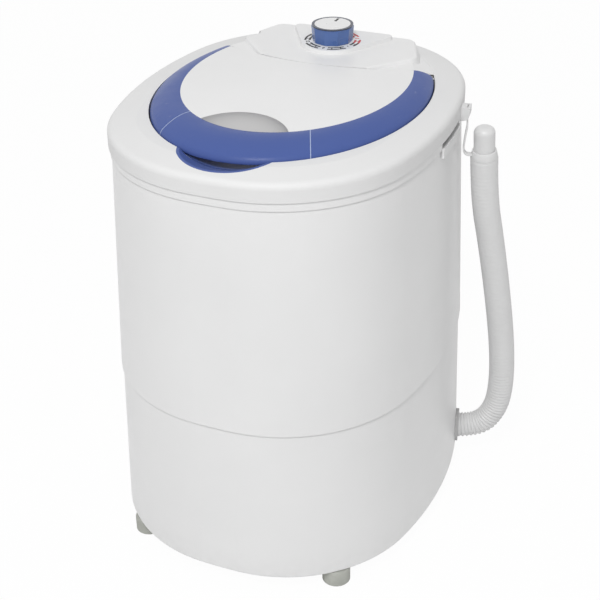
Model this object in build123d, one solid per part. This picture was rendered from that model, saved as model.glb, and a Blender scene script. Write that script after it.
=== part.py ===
from build123d import *
import math
import os

os.makedirs("parts", exist_ok=True)

# Portable top load washing machine: an oval cabinet with a single tub, belt drive and a gravity drain hose.
# Millimetres, +Z up, floor at z = 0, front at -Y, hose side at +X.

# Oval plan at the top of the cabinet wall
half_width = 170.0
half_depth = 209.8
front_radius = 515.0
side_radius = 411.0
corner_radius = 147.0

# Heights of the stacked mouldings
foot_height = 20.0
base_height = 187.0
cabinet_height = 254.0
flange_height = 9.0
cover_height = 19.0
crown_rise = 4.5

# Walls, draft and overhangs
wall = 3.0
base_floor = 3.5
base_flare = 13.6
cabinet_flare = 10.2
cabinet_edge = 1.2
seam_step = 2.0
seam_tongue = 12.0
tongue_wall = 2.5
tongue_gap = 1.0
flange_lip = 1.5
cover_lip = 3.0
shoulder_round = 7.0
base_round = 3.0
vent_slots = 5
vent_slot_length = 65.0
vent_slot_width = 6.0
vent_slot_pitch = 16.0
vent_front_y = -65.0

# Lid and console oval on top of the cover
lid_border_x = 27.5
lid_border_y = 25.3
lid_centre_y = 8.0
lid_gap = 1.5
lid_proud = 1.5
trim_band_x = 24.5
trim_band_y = 33.0
trim_shift = 12.0
trim_rise = 10.0
trim_thickness = 2.2
trim_drop = 5.0
trim_round = 5.0
dome_rise = 4.5
lid_thickness = 2.4
lid_skirt = 17.5

# Curve that divides the lid from the console, measured in from the lid's side and forward from its rear end
lid_wing_inset = 34.5
lid_wing_back = 112.5
lid_rear_back = 142.5
lid_end_over = 7.5
lid_end_back = 64.5
console_gap = 1.2

# Handle bar and the scoop that it bridges
handle_half_span = 75.0
handle_seam_lean = 0.42
handle_over = 10.0
handle_reach = 105.0
scoop_half_width = 56.0
scoop_half_depth = 58.0
scoop_depth = 25.0
scoop_set = 26.5
scoop_skin = 2.2
scoop_clearance = 1.5

# Lid hinge
hinge_back = 94.5
hinge_drop = 4.5
hinge_pin_radius = 1.6
hinge_fit = 0.08
ear_radius = 3.0
ear_inset = 3.9
ear_width = 3.2
ear_neck = 4.0
ear_neck_length = 14.0
ear_neck_angle = 240.0
pin_overhang = 1.0
hinge_notch = 5.2
hinge_room = 9.2
hinge_clearance = 0.6

# Deck of the cover and the mouth over the tub
deck_thickness = 3.0
well_wall = 2.5
mouth_radius = 138.0
mouth_rear_back = 134.5

# Console
console_thickness = 2.5
console_fit = 0.5
platform_rise = 4.0
platform_rear_back = 24.5
platform_half_rear = 86.0
platform_half_front = 110.0
platform_half_nose = 43.0
platform_front_back = 86.5
platform_corner = 20.0
platform_draft_angle = 24.0
platform_round = 3.0
boss_rise = 4.0
boss_lean = 2.0
boss_corner_x = 52.0
boss_corner_back = 41.5
boss_corner_radius = 8.0

# Timer and knob
knob_back = 74.5
knob_radius = 23.8
knob_foot_radius = 22.4
knob_height = 18.5
knob_sides = 10
knob_lift = 0.5
dial_radius = 33.0
cap_radius = 20.0
cap_depth = 1.4
cap_fit = 0.1
timer_shaft_radius = 3.0
timer_shaft_fit = 0.06
timer_width = 58.0
timer_depth = 44.0
timer_height = 26.0
timer_round = 5.0
timer_collar_radius = 22.0
shaft_hole_radius = 5.0
shaft_seat = 10.0
knob_rim = 2.0
knob_rim_step = 0.7
knob_wall = 3.0
knob_hub_wall = 4.0
knob_roof = 3.0
knob_hollow = 7.4
pointer_width = 2.4
pointer_length = 8.0
pointer_inset = 5.0

# Water inlet
inlet_x = -99.5
inlet_back = 71.5
inlet_bore = 7.0
inlet_wall = 2.0
inlet_drop = 2.0
inlet_bend = 11.0
inlet_spout_x = -68.0
inlet_spout_back = 138.5
inlet_hole_fit = 0.4

# Side hand grips under the cover
grip_front_y = -13.0
grip_rear_y = 55.0
grip_depth = 16.0
grip_floor = 2.0
grip_lip_drop = 9.0
grip_lip_out = 3.6
grip_lip_gap = 0.7

# Wash tub
tub_y = -26.0
tub_top_radius = 146.0
tub_bottom_radius = 134.0
tub_floor_rise = 17.0
tub_round = 24.0
flange_plate = 3.0
flange_rim = 5.5

# Overflow cover on the tub wall
overflow_angle = 12.0
overflow_width = 54.0
overflow_height = 150.0
overflow_rise = 30.0
overflow_plate = 2.5
overflow_gap = 0.3
overflow_slots = 7
overflow_slot = 5.0
overflow_slot_length = 32.0

# Pulsator and its shaft
pulsator_radius = 92.0
pulsator_lift = 4.0
pulsator_plate = 3.0
pulsator_rim = 8.0
pulsator_rim_lean = 2.0
pulsator_rim_top = 4.0
pulsator_dish_radius = 78.0
pulsator_waist_radius = 35.0
pulsator_waist = 6.7
pulsator_hub_radius = 15.6
pulsator_cone = 16.0
pulsator_vanes = 4
vane_height = 17.0
vane_width = 15.0
vane_length = 66.0
vane_reach = 46.0
vane_angle = 18.0
vane_draft_angle = 12.0
vane_round = 2.0
pulsator_holes = 12
pulsator_hole = 4.0
pulsator_hole_reach = 66.0
spigot_drop = 2.0
shaft_radius = 7.0
spigot_radius = 5.0
spigot_fit = 0.05
running_fit = 0.05
screw_head_radius = 8.0
screw_head = 4.0
screw_shank = 2.5
screw_length = 14.0
screw_round = 1.5
screw_slot = 1.6
screw_slot_depth = 1.2

# Bearing housing under the tub
housing_flange_radius = 62.0
housing_flange = 6.0
housing_radius = 20.0
housing_drop = 43.0
housing_ribs = 6
housing_rib = 4.0
housing_rib_inset = 2.0
housing_rib_foot = 6.0
housing_neck_fit = 0.2
bush_inset = 1.0
bush_radius = 12.0
bush_length = 12.0
seal_length = 6.0

# Belt drive
belt_drop = 60.0
belt_width = 7.5
belt_thickness = 6.0
belt_gap = 0.3
groove_side_gap = 0.5
driven_belt_radius = 70.0
motor_belt_radius = 18.0
rim_over_belt = 1.0
pulley_flange = 3.0
pulley_web = 4.0
pulley_hub_radius = 14.0
pulley_hub_length = 24.0
pulley_rim = 5.0
pulley_holes = 5
pulley_hole_radius = 16.5
nut_radius = 9.0
nut_height = 6.0

# Motor on the base floor
drive_span = 138.0
drive_angle = 28.0
motor_radius = 58.0
motor_pulley_gap = 16.25
motor_plate_size = 130.0
motor_plate = 3.0
motor_mount_inset = 14.0
motor_mount_radius = 9.0
motor_mount_height = 12.0
end_bell_radius = 46.0
end_bell_height = 9.0
motor_shaft_radius = 6.0
motor_shaft_depth = 26.0
motor_fins = 16
motor_fin_depth = 3.0
motor_fin_width = 8.0
motor_fin_height = 45.0
end_bell_chamfer = 4.0

# Capacitor
capacitor_x = -112.0
capacitor_y = -70.0
capacitor_radius = 17.0
capacitor_height = 68.0
clip_width = 12.0
clip_wall = 1.5
clip_tab = 16.0
capacitor_round = 3.0

# Feet
foot_inset_x = 53.0
foot_inset_y = 40.8
foot_radius = 15.5
foot_top_radius = 14.5
foot_peg = 5.0
foot_peg_length = 5.0
foot_peg_fit = 0.2
foot_edge = 1.0
foot_neck = 3.0

# Drain
drain_rise = 22.5
drain_angle = 14.0
grommet_radius = 20.0
grommet_wall = 3.0
drain_pipe_radius = 14.0
drain_pipe_bore = 12.0
drain_pipe_bend = 32.0
drain_run = 128.0
sump_socket = 8.0
sump_fit = 0.2
sump_slots = 3
sump_slot = 3.5

# Hose, its nozzle, strap and hook
hose_radius = 15.0
hose_bore = 12.0
hose_valley = 13.5
hose_inset = 5.0
hose_first_run = 26.0
rib_pitch = 4.4
rib_count = 34
rib_start = 16.0
nozzle_radius = 11.5
nozzle_bore = 8.5
nozzle_length = 38.0
nozzle_round = 7.0
nozzle_socket = 9.0
nozzle_collar = 2.0
nozzle_fit = 0.1
ring_wall = 1.6
ring_flare = 1.6
ring_height = 9.0
strap_thickness = 1.8
strap_width = 8.0
hook_y = 63.0
hook_rise = 3.0
hook_reach = 9.5
hook_width = 14.0
hook_height = 15.0
hook_slot = 2.6
hook_slot_x = 6.0
hook_round = 7.6
hook_slot_fit = 0.5
strap_head = 2.0
strap_arm = 5.4
nozzle_mouth = 6.0

# Hose points between the drain and the nozzle, as reach out from the half width, y and height
hose_low_points = ((46.0, 113.0, 50.0), (51.5, 111.5, 88.0), (50.5, 107.0, 140.0), (44.0, 98.0, 210.0))
# The same for the upper part, with the height given as a drop from the top of the tub
hose_high_points = ((34.0, 85.5, 158.0), (25.5, 73.0, 96.0), (24.0, 70.2, 50.0))

# Mains lead gland at the rear of the base
gland_x = -70.0
gland_rise = 48.0
gland_radius = 9.0
gland_flange = 4.0
gland_step = 2.0
gland_fit = 0.2
gland_neck = 9.0

# Plan of the lid and console, which follows the cabinet
lid_half_width = half_width - lid_border_x
lid_half_depth = half_depth - lid_border_y
lid_front_y = lid_centre_y - lid_half_depth
lid_back_y = lid_centre_y + lid_half_depth
trim_half_width = lid_half_width - trim_band_x
trim_half_depth = lid_half_depth - trim_band_y
trim_centre_y = lid_centre_y + trim_shift
lid_wing_x = lid_half_width - lid_wing_inset
lid_wing_y = lid_back_y - lid_wing_back
lid_rear_y = lid_back_y - lid_rear_back
lid_end_x = lid_half_width + lid_end_over
lid_end_y = lid_back_y - lid_end_back
handle_front_y = lid_front_y - handle_over
handle_back_y = lid_front_y + handle_reach
scoop_y = lid_front_y + scoop_set
hinge_y = lid_back_y - hinge_back
lid_side_x = lid_half_width * math.sqrt(1 - ((hinge_y - lid_centre_y) / lid_half_depth) ** 2)
ear_inner_x = lid_side_x - ear_inset
mouth_rear_y = lid_back_y - mouth_rear_back
platform_rear_y = lid_back_y - platform_rear_back
platform_front_y = lid_back_y - platform_front_back
boss_corner_y = lid_back_y - boss_corner_back
knob_y = lid_back_y - knob_back
inlet_y = lid_back_y - inlet_back
inlet_spout_y = lid_back_y - inlet_spout_back
foot_x = half_width - foot_inset_x
foot_y = half_depth - foot_inset_y

# Levels that follow from the sizes
base_z = foot_height
drain_z = base_z + drain_rise
gland_z = base_z + gland_rise
seam_z = base_z + base_height
flange_z = seam_z + cabinet_height
split_z = flange_z + flange_height
shoulder_z = split_z + cover_height
crown_z = shoulder_z + crown_rise
lid_edge_z = crown_z + lid_proud
trim_top_z = lid_edge_z + trim_rise
lid_top_z = trim_top_z + dome_rise
deck_z = split_z
deck_top_z = deck_z + deck_thickness
lid_bottom_z = lid_edge_z - lid_skirt
hinge_z = lid_edge_z - hinge_drop
platform_z = trim_top_z + platform_rise
boss_z = platform_z + boss_rise
knob_z = boss_z + knob_lift
knob_top_z = knob_z + knob_height
base_top_offset = cabinet_flare - seam_step
floor_top_z = base_z + base_floor
tub_floor_z = seam_z + tub_floor_rise
tub_floor_under_z = tub_floor_z - wall
pan_top_z = tub_floor_z + tub_round
belt_z = tub_floor_under_z - belt_drop
overflow_base_z = tub_floor_z + overflow_rise
hook_z = split_z + hook_rise
scoop_z = trim_top_z
inlet_top_z = trim_top_z - inlet_drop
pulley_half = belt_width / 2 + groove_side_gap + pulley_flange
motor_low_z = floor_top_z + motor_mount_height + motor_plate
motor_top_z = belt_z - pulley_half - motor_pulley_gap - end_bell_height

# Corner arc of the plan, tangent to the side and rear arcs
side_centre_x = half_width - side_radius
rear_centre_y = half_depth - front_radius
centre_span = math.hypot(side_centre_x, rear_centre_y)
rear_reach = front_radius - corner_radius
side_reach = side_radius - corner_radius
along = (centre_span ** 2 + rear_reach ** 2 - side_reach ** 2) / (2 * centre_span)
across = math.sqrt(rear_reach ** 2 - along ** 2)
span_x = side_centre_x / centre_span
span_y = -rear_centre_y / centre_span
corner_x = span_x * along + span_y * across
corner_y = rear_centre_y + span_y * along - span_x * across
side_turn = math.atan2(corner_y, corner_x - side_centre_x)
rear_turn = math.atan2(corner_y - rear_centre_y, corner_x)


def save(name, shape):
    export_step(shape, f"parts/{name}.step")


def at_z(z, shape):
    return Pos(0, 0, z) * shape


def polar(centre, radius, angle):
    return (centre[0] + radius * math.cos(angle), centre[1] + radius * math.sin(angle))


def arc(centre, radius, start, end):
    middle = (start + end) / 2
    return ThreePointArc(
        polar(centre, radius, start), polar(centre, radius, middle), polar(centre, radius, end)
    )


def outline(offset):
    """Oval plan of the cabinet, grown outwards by offset."""
    half_turn = math.pi
    corner = corner_radius + offset
    side = side_radius + offset
    front = front_radius + offset
    edges = [
        arc((side_centre_x, 0), side, -side_turn, side_turn),
        arc((corner_x, corner_y), corner, side_turn, rear_turn),
        arc((0, rear_centre_y), front, rear_turn, half_turn - rear_turn),
        arc((-corner_x, corner_y), corner, half_turn - rear_turn, half_turn - side_turn),
        arc((-side_centre_x, 0), side, half_turn - side_turn, half_turn + side_turn),
        arc((-corner_x, -corner_y), corner, half_turn + side_turn, half_turn + rear_turn),
        arc((0, -rear_centre_y), front, half_turn + rear_turn, 2 * half_turn - rear_turn),
        arc((corner_x, -corner_y), corner, -rear_turn, -side_turn),
    ]
    return make_face(Wire(edges))


def prism(face, low, high):
    return extrude(at_z(low, face), high - low, dir=(0, 0, 1))


def frustum(low_offset, low, high_offset, high):
    return loft([at_z(low, outline(low_offset)), at_z(high, outline(high_offset))], ruled=True)


def wall_point(offset, angle):
    """Point of the plan whose outward normal has this angle, in the rear right quarter."""
    if angle < side_turn:
        return polar((side_centre_x, 0), side_radius + offset, angle)
    if angle < rear_turn:
        return polar((corner_x, corner_y), corner_radius + offset, angle)
    return polar((0, rear_centre_y), front_radius + offset, angle)


def lid_oval(grow):
    return Pos(0, lid_centre_y) * Ellipse(lid_half_width + grow, lid_half_depth + grow)


def trim_oval(grow):
    return Pos(0, trim_centre_y) * Ellipse(trim_half_width + grow, trim_half_depth + grow)


def bevel(drop, inset, low):
    """Solid under the sloping band between the lid oval and the trim oval, lowered and drawn in."""
    band = loft(
        [at_z(lid_edge_z - drop, lid_oval(-inset)), at_z(trim_top_z - drop, trim_oval(0))], ruled=True
    )
    return band + prism(lid_oval(-inset), low, lid_edge_z - drop)


def dome(drop):
    """Shallow crowned cap over the trim oval."""
    profile = make_face(
        [
            Line((0, -trim_rise), (trim_half_width, -trim_rise)),
            Line((trim_half_width, -trim_rise), (trim_half_width, 0)),
            ThreePointArc(
                (trim_half_width, 0), (trim_half_width / 2, dome_rise * 0.75), (0, dome_rise)
            ),
            Line((0, dome_rise), (0, -trim_rise)),
        ]
    )
    cap = revolve(Plane.XZ * profile, Axis.Z)
    cap = scale(cap, by=(1, trim_half_depth / trim_half_width, 1))
    return Pos(0, trim_centre_y, trim_top_z - drop) * cap


def rear_edge(shift):
    """Curve that divides the lid from the console, left to right."""
    wing = lid_wing_y + shift
    middle = lid_rear_y + shift
    return [
        Line((-lid_end_x, lid_end_y + shift), (-lid_wing_x, wing)),
        ThreePointArc((-lid_wing_x, wing), (0, middle), (lid_wing_x, wing)),
        Line((lid_wing_x, wing), (lid_end_x, lid_end_y + shift)),
    ]


def lid_region():
    reach = half_depth + wall
    return make_face(
        rear_edge(0)
        + [
            Line((lid_end_x, lid_end_y), (lid_end_x, -reach)),
            Line((lid_end_x, -reach), (-lid_end_x, -reach)),
            Line((-lid_end_x, -reach), (-lid_end_x, lid_end_y)),
        ]
    )


def console_region(setback):
    """Plan behind the lid, with its front edge set back from the gap."""
    reach = half_depth + wall
    front = lid_end_y + console_gap + setback
    return make_face(
        rear_edge(console_gap + setback)
        + [
            Line((lid_end_x, front), (lid_end_x, reach)),
            Line((lid_end_x, reach), (-lid_end_x, reach)),
            Line((-lid_end_x, reach), (-lid_end_x, front)),
        ]
    )


def ellipsoid(grow):
    """Scoop that runs under the handle bar from the lid to the front of the cover."""
    ball = scale(
        Sphere(1.0), by=(scoop_half_width + grow, scoop_half_depth + grow, scoop_depth + grow)
    )
    return Pos(0, scoop_y, scoop_z) * ball


def ring(outer, inner, low, high):
    return at_z(low, extrude(Circle(outer) - Circle(inner), high - low))


def base():
    shell = frustum(base_flare, base_z, base_top_offset, seam_z)
    shell = fillet(shell.edges().group_by(Axis.Z)[0], base_round)
    shell -= frustum(base_flare - wall, floor_top_z, base_top_offset - wall, seam_z)
    tongue_offset = cabinet_flare - wall - tongue_gap
    tongue = outline(tongue_offset) - outline(tongue_offset - tongue_wall)
    shell += prism(tongue, seam_z - seam_tongue, seam_z + seam_tongue)
    for x in (-foot_x, foot_x):
        for y in (-foot_y, foot_y):
            shell -= Pos(x, y, base_z) * Cylinder(foot_peg, 4 * base_floor)
    slot = SlotOverall(vent_slot_length, vent_slot_width)
    for row in range(vent_slots):
        shell -= at_z(base_z, Pos(0, vent_front_y - vent_slot_pitch * row) * extrude(slot, base_floor))
    shell -= drain_bore(grommet_radius - grommet_wall)
    shell -= gland_place() * Cylinder(gland_radius - gland_step, 6 * wall)
    return shell


def drain_direction():
    angle = math.radians(drain_angle)
    return (math.cos(angle), math.sin(angle))


def drain_wall():
    """Offset of the base wall at the height of the drain."""
    rise = (drain_z - base_z) / base_height
    return base_flare + (base_top_offset - base_flare) * rise


def drain_point(distance):
    """Point on the drain axis, at a distance out from the face of the base wall."""
    start = wall_point(drain_wall(), math.radians(drain_angle))
    out = drain_direction()
    return (start[0] + distance * out[0], start[1] + distance * out[1], drain_z)


def drain_plane(distance):
    out = drain_direction()
    return Plane(origin=drain_point(distance), x_dir=(0, 0, 1), z_dir=(out[0], out[1], 0))


def drain_bore(radius):
    return extrude(drain_plane(-3 * wall) * Circle(radius), 6 * wall)


def gland_place():
    turn = math.acos(gland_x / (front_radius + drain_wall()))
    x, y = polar((0, rear_centre_y), front_radius + drain_wall(), turn)
    return Pos(x, y, gland_z) * Rot(0, 0, math.degrees(turn) - 90) * Rot(-90, 0, 0)


def cabinet():
    shell = frustum(cabinet_flare, seam_z, 0, flange_z)
    shell = fillet(shell.edges().group_by(Axis.Z)[0], cabinet_edge)
    return shell - frustum(cabinet_flare - wall, seam_z, -wall, flange_z)


def tub_can(low, high):
    """Tapered can with a rounded foot, from one height to another."""
    outer = [
        (0, tub_floor_under_z),
        (tub_bottom_radius + wall, tub_floor_under_z),
        (tub_top_radius + wall, split_z),
        (0, split_z),
    ]
    inner = [
        (0, tub_floor_z),
        (tub_bottom_radius, tub_floor_z),
        (tub_top_radius, split_z),
        (0, split_z),
    ]
    can = revolve(Plane.XZ * make_face(Polyline(*outer, close=True)), Axis.Z)
    can = fillet(can.edges().group_by(Axis.Z)[0], tub_round + wall)
    hollow = revolve(Plane.XZ * make_face(Polyline(*inner, close=True)), Axis.Z)
    hollow = fillet(hollow.edges().group_by(Axis.Z)[0], tub_round)
    return Pos(0, tub_y) * ((can - hollow) & solid_rod(2 * tub_top_radius, low, high))


def wash_tub():
    return tub_can(pan_top_z, split_z)


def tub_pan():
    """Floor of the tub, with a hole for the bearing and a slotted sump over the drain pipe."""
    pan = tub_can(tub_floor_under_z, pan_top_z)
    pan -= Pos(0, tub_y, tub_floor_z) * Cylinder(bush_radius + wall, 4 * wall)
    sump_x, sump_y, _ = drain_point(-drain_run)
    socket = drain_pipe_radius + sump_fit
    collar = socket + drain_pipe_radius - drain_pipe_bore
    pan += Pos(sump_x, sump_y) * ring(collar, socket, tub_floor_under_z - sump_socket, tub_floor_under_z)
    for step in range(sump_slots):
        shift = 2 * sump_slot * (step - (sump_slots - 1) / 2)
        pan -= Pos(sump_x, sump_y + shift, tub_floor_z) * Box(1.5 * drain_pipe_bore, sump_slot, 4 * wall)
    return pan


def flange_band():
    return outline(flange_lip) - outline(flange_lip - flange_rim)


def grip_block(side, low, high):
    """Block that marks out a hand grip in the side of the rim."""
    block = Box(4 * grip_depth, grip_rear_y - grip_front_y, high - low)
    return Pos(side * (half_width + grip_depth), (grip_front_y + grip_rear_y) / 2, (low + high) / 2) * block


def tub_flange():
    """Oval rim round the top of the tub, open at each side for a hand grip."""
    flange = prism(flange_band(), flange_z, split_z)
    flange += prism(outline(flange_lip - flange_rim / 2), split_z - flange_plate, split_z)
    flange -= Pos(0, tub_y) * solid_rod(tub_top_radius + wall, flange_z, split_z)
    for side in (-1, 1):
        flange -= grip_block(side, flange_z, split_z)
    return flange


def hand_grip(side):
    """Floor of a hand grip and the lip that hangs from it outside the cabinet."""
    high = flange_z + grip_floor
    low = flange_z - grip_lip_drop
    floor = prism(flange_band(), flange_z, high) & grip_block(side, flange_z, high)
    lip = prism(outline(grip_lip_out) - outline(grip_lip_gap), low, high) & grip_block(side, low, high)
    return floor + lip


def top_cover():
    skin = prism(outline(cover_lip), split_z, shoulder_z)
    inset = half_width - lid_half_width
    skin += frustum(cover_lip, shoulder_z, -inset, crown_z)
    shoulder = skin.edges().filter_by(lambda edge: abs(edge.center().Z - shoulder_z) < 0.01)
    skin = fillet(shoulder, shoulder_round)
    well = prism(lid_oval(lid_gap + well_wall), split_z, crown_z)
    cavity = prism(outline(cover_lip - wall), split_z, shoulder_z - wall)
    cavity += frustum(cover_lip - wall, shoulder_z - wall, -inset, crown_z - wall)
    skin -= cavity - well
    skin -= prism(lid_oval(lid_gap), deck_top_z, crown_z + trim_rise)
    mouth = Pos(0, tub_y) * Circle(mouth_radius)
    mouth -= Pos(0, mouth_rear_y + mouth_radius) * Rectangle(3 * mouth_radius, 2 * mouth_radius)
    skin -= prism(mouth, deck_z, deck_top_z)
    skin -= ellipsoid(scoop_skin) - prism(lid_oval(lid_gap), deck_z, trim_top_z + scoop_depth)
    for side in (-1, 1):
        skin -= hinge_bar(side, hinge_pin_radius, ear_inner_x, well_face_x() + well_wall)
    return skin


def hinge_bar(side, radius, near, far):
    """Round bar on the hinge axis, from near to far out along X on one side."""
    middle = side * (near + far) / 2
    return Pos(middle, hinge_y, hinge_z) * Rot(0, 90, 0) * Cylinder(radius, far - near)


def well_face_x():
    """Where the wall of the lid well crosses the hinge axis."""
    share = (hinge_y - lid_centre_y) / (lid_half_depth + lid_gap)
    return (lid_half_width + lid_gap) * math.sqrt(1 - share ** 2)


def hinge_pin(side):
    return hinge_bar(side, hinge_pin_radius, ear_inner_x - pin_overhang, well_face_x() + well_wall)


def scoop_insert():
    shell = ellipsoid(scoop_skin) - ellipsoid(0)
    shell -= prism(lid_oval(lid_gap), deck_z, trim_top_z + scoop_depth)
    return shell & crown_space()


def crown_space():
    inset = half_width - lid_half_width
    return prism(outline(cover_lip), split_z, shoulder_z) + frustum(cover_lip, shoulder_z, -inset, crown_z)


def lid_blank(drop, inset, cap_drop):
    return bevel(drop, inset, lid_bottom_z) + dome(cap_drop)


def lid_panel():
    skin_drop = trim_thickness + lid_thickness
    blank = lid_blank(trim_thickness, trim_thickness, 0)
    hollow = bevel(skin_drop, skin_drop, lid_bottom_z)
    hollow += prism(trim_oval(-lid_thickness), lid_bottom_z, trim_top_z - lid_thickness)
    hollow += dome(lid_thickness) & prism(trim_oval(-lid_thickness), lid_bottom_z, lid_top_z)
    dish = ellipsoid(scoop_skin)
    panel = blank - (hollow - dish)
    panel = panel & prism(lid_region(), lid_bottom_z, lid_top_z)
    panel -= ellipsoid(0)
    panel -= handle_cup()
    for side in (-1, 1):
        panel -= lid_sweep(side)
        panel += hinge_ear(side)
        panel -= hinge_bar(side, hinge_pin_radius + hinge_fit, ear_inner_x - ear_width, lid_half_width)
    return panel


def edge_reach(x, height):
    """Distance from the hinge axis to the console's front edge at x and a height."""
    sag = lid_wing_y - lid_rear_y
    bow = (lid_wing_x ** 2 + sag ** 2) / (2 * sag)
    edge_y = lid_rear_y + bow - math.sqrt(bow ** 2 - x ** 2)
    return math.hypot(hinge_y - edge_y - console_gap, height - hinge_z) + hinge_clearance


def lid_sweep(side):
    """Round undercut about the hinge axis that lets the lid's rear edge swing past the console."""
    wing_slope = (lid_end_y - lid_wing_y) / (lid_end_x - lid_wing_x)
    end_x = lid_wing_x + (hinge_y - lid_wing_y) / wing_slope
    start_x = lid_wing_x / 2
    nose_x = lid_wing_x * 2 / 3
    profile = Polyline(
        (start_x, 0),
        (start_x, edge_reach(start_x, platform_z)),
        (nose_x, edge_reach(nose_x, platform_z)),
        (lid_wing_x, edge_reach(lid_wing_x, trim_top_z)),
        (end_x, hinge_room),
        (lid_half_width, hinge_room),
        (lid_half_width, 0),
        close=True,
    )
    room = Pos(0, hinge_y, hinge_z) * revolve(make_face(profile), Axis.X)
    return room if side > 0 else mirror(room, Plane.YZ)


def hinge_ear(side):
    """Eye at each rear corner of the lid, on a neck that runs forward and down into the skirt."""
    neck = Pos(ear_neck_length / 2, 0) * Rectangle(ear_neck_length, ear_neck)
    lug = Circle(ear_radius) + Rot(0, 0, ear_neck_angle) * neck
    lug = extrude(Plane.YZ * lug, ear_width)
    lug = Pos(ear_inner_x, hinge_y, hinge_z) * lug
    return lug if side > 0 else mirror(lug, Plane.YZ)


def handle_cup():
    """Finger cup under the bar, between the lid's edge and its raised middle."""
    shell = ellipsoid(scoop_skin) - ellipsoid(0)
    shell = shell & bevel(trim_thickness, trim_thickness, lid_bottom_z)
    return shell - dome_column()


def trim_blank():
    """Solid form of the blue band, with a rounded outer edge."""
    blank = bevel(0, 0, lid_edge_z - trim_drop)
    edge = blank.edges().filter_by(lambda edge: abs(edge.center().Z - lid_edge_z) < 0.01)
    return fillet(edge, trim_round)


def trim_band():
    band = trim_blank() - bevel(trim_thickness, trim_thickness, lid_bottom_z)
    return (band - dome_column()) & prism(lid_region(), lid_bottom_z, lid_top_z)


def dome_column():
    return prism(trim_oval(0), lid_bottom_z, lid_top_z)


def handle_zone():
    """Plan of the bar between its two leaning seams."""
    spread = handle_seam_lean * (handle_back_y - handle_front_y) / 2
    return Polygon(
        (-handle_half_span - spread, handle_front_y),
        (handle_half_span + spread, handle_front_y),
        (handle_half_span - spread, handle_back_y),
        (-handle_half_span + spread, handle_back_y),
        align=None,
    )


def lid_handle(band):
    zone = prism(handle_zone(), lid_bottom_z, lid_top_z)
    bar = band & zone
    core = trim_blank() - bevel(trim_drop, trim_drop / 2, lid_bottom_z)
    core = (core - dome_column()) & ellipsoid(-scoop_clearance)
    return bar + core + handle_cup()


def side_trim(band, side):
    rest = band - prism(handle_zone(), lid_bottom_z, lid_top_z)
    half = Pos(side * half_width, 0, lid_edge_z) * Box(2 * half_width, 4 * half_depth, 4 * lid_skirt)
    return (rest & half) - lid_sweep(side)


def platform(inset):
    """Raised block behind the lid, drawn in towards its top."""
    plan = Polygon(
        (-platform_half_nose + inset, lid_rear_y - platform_corner),
        (platform_half_nose - inset, lid_rear_y - platform_corner),
        (platform_half_front - inset, platform_front_y),
        (platform_half_rear - inset, platform_rear_y - inset),
        (-platform_half_rear + inset, platform_rear_y - inset),
        (-platform_half_front + inset, platform_front_y),
        align=None,
    )
    plan = fillet(plan.vertices(), platform_corner)
    low = lid_edge_z - inset
    return extrude(at_z(low, plan), platform_z - lid_edge_z, taper=platform_draft_angle)


def boss_plan(inset):
    front = Pos(0, knob_y) * Circle(dial_radius + boss_rise - inset)
    edges = front.edges()
    for side in (-1, 1):
        corner = Pos(side * boss_corner_x, boss_corner_y) * Circle(boss_corner_radius - inset)
        edges += corner.edges()
    return make_hull(edges)


def boss(inset):
    """Flat-backed round boss that carries the dial."""
    low = at_z(platform_z - boss_rise - inset, boss_plan(inset))
    high = at_z(boss_z - inset, boss_plan(inset + boss_lean))
    return loft([low, high], ruled=True)


def console_blank(inset):
    """Console form before its inside is taken out, drawn in by inset on every side."""
    grow = lid_gap - console_fit - inset
    form = loft(
        [at_z(lid_edge_z - inset, lid_oval(grow)), at_z(trim_top_z - inset, trim_oval(-inset))], ruled=True
    )
    form += prism(lid_oval(grow), deck_top_z, lid_edge_z - inset)
    return form


def control_panel():
    thick = console_thickness
    raised = platform(0)
    raised = fillet(raised.faces().sort_by(Axis.Z)[-1].edges(), platform_round)
    raised += boss(0)
    raised = raised & prism(lid_oval(lid_gap - console_fit), lid_edge_z - trim_rise, boss_z)
    panel = (console_blank(0) + raised) & prism(console_region(0), deck_top_z, boss_z + thick)
    inside = prism(console_region(thick), deck_top_z, boss_z + thick)
    for hollow in (console_blank(thick), platform(thick), boss(thick)):
        panel -= hollow & inside
    panel -= Pos(0, knob_y, boss_z) * Cylinder(shaft_hole_radius, 6 * thick)
    inlet_hole = inlet_bore + inlet_wall + inlet_hole_fit
    panel -= inlet_run(inlet_hole)
    panel -= Pos(inlet_x, inlet_y) * solid_rod(inlet_hole, inlet_top_z - inlet_drop, boss_z)
    notch_x = ear_inner_x - pin_overhang - hinge_clearance
    notch_box = Box(lid_half_width - notch_x, 2 * hinge_notch, hinge_z - deck_z)
    for side in (-1, 1):
        panel -= hinge_bar(side, hinge_notch, notch_x, lid_half_width)
        panel -= Pos(side * (notch_x + lid_half_width) / 2, hinge_y, (hinge_z + deck_z) / 2) * notch_box
    return panel


def wash_timer():
    """Clockwork timer hung under the console, its collar up against the boss."""
    top = boss_z - console_thickness
    box_top = platform_z - console_thickness
    plan = RectangleRounded(timer_width, timer_depth, timer_round)
    body = prism(plan, box_top - timer_height, box_top) + solid_rod(timer_collar_radius, box_top, top)
    body -= solid_rod(timer_shaft_radius + timer_shaft_fit, top - shaft_seat, top)
    return Pos(0, knob_y) * body


def timer_shaft():
    low = boss_z - console_thickness - shaft_seat
    return Pos(0, knob_y) * solid_rod(timer_shaft_radius, low, knob_top_z - cap_depth - knob_roof)


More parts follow.
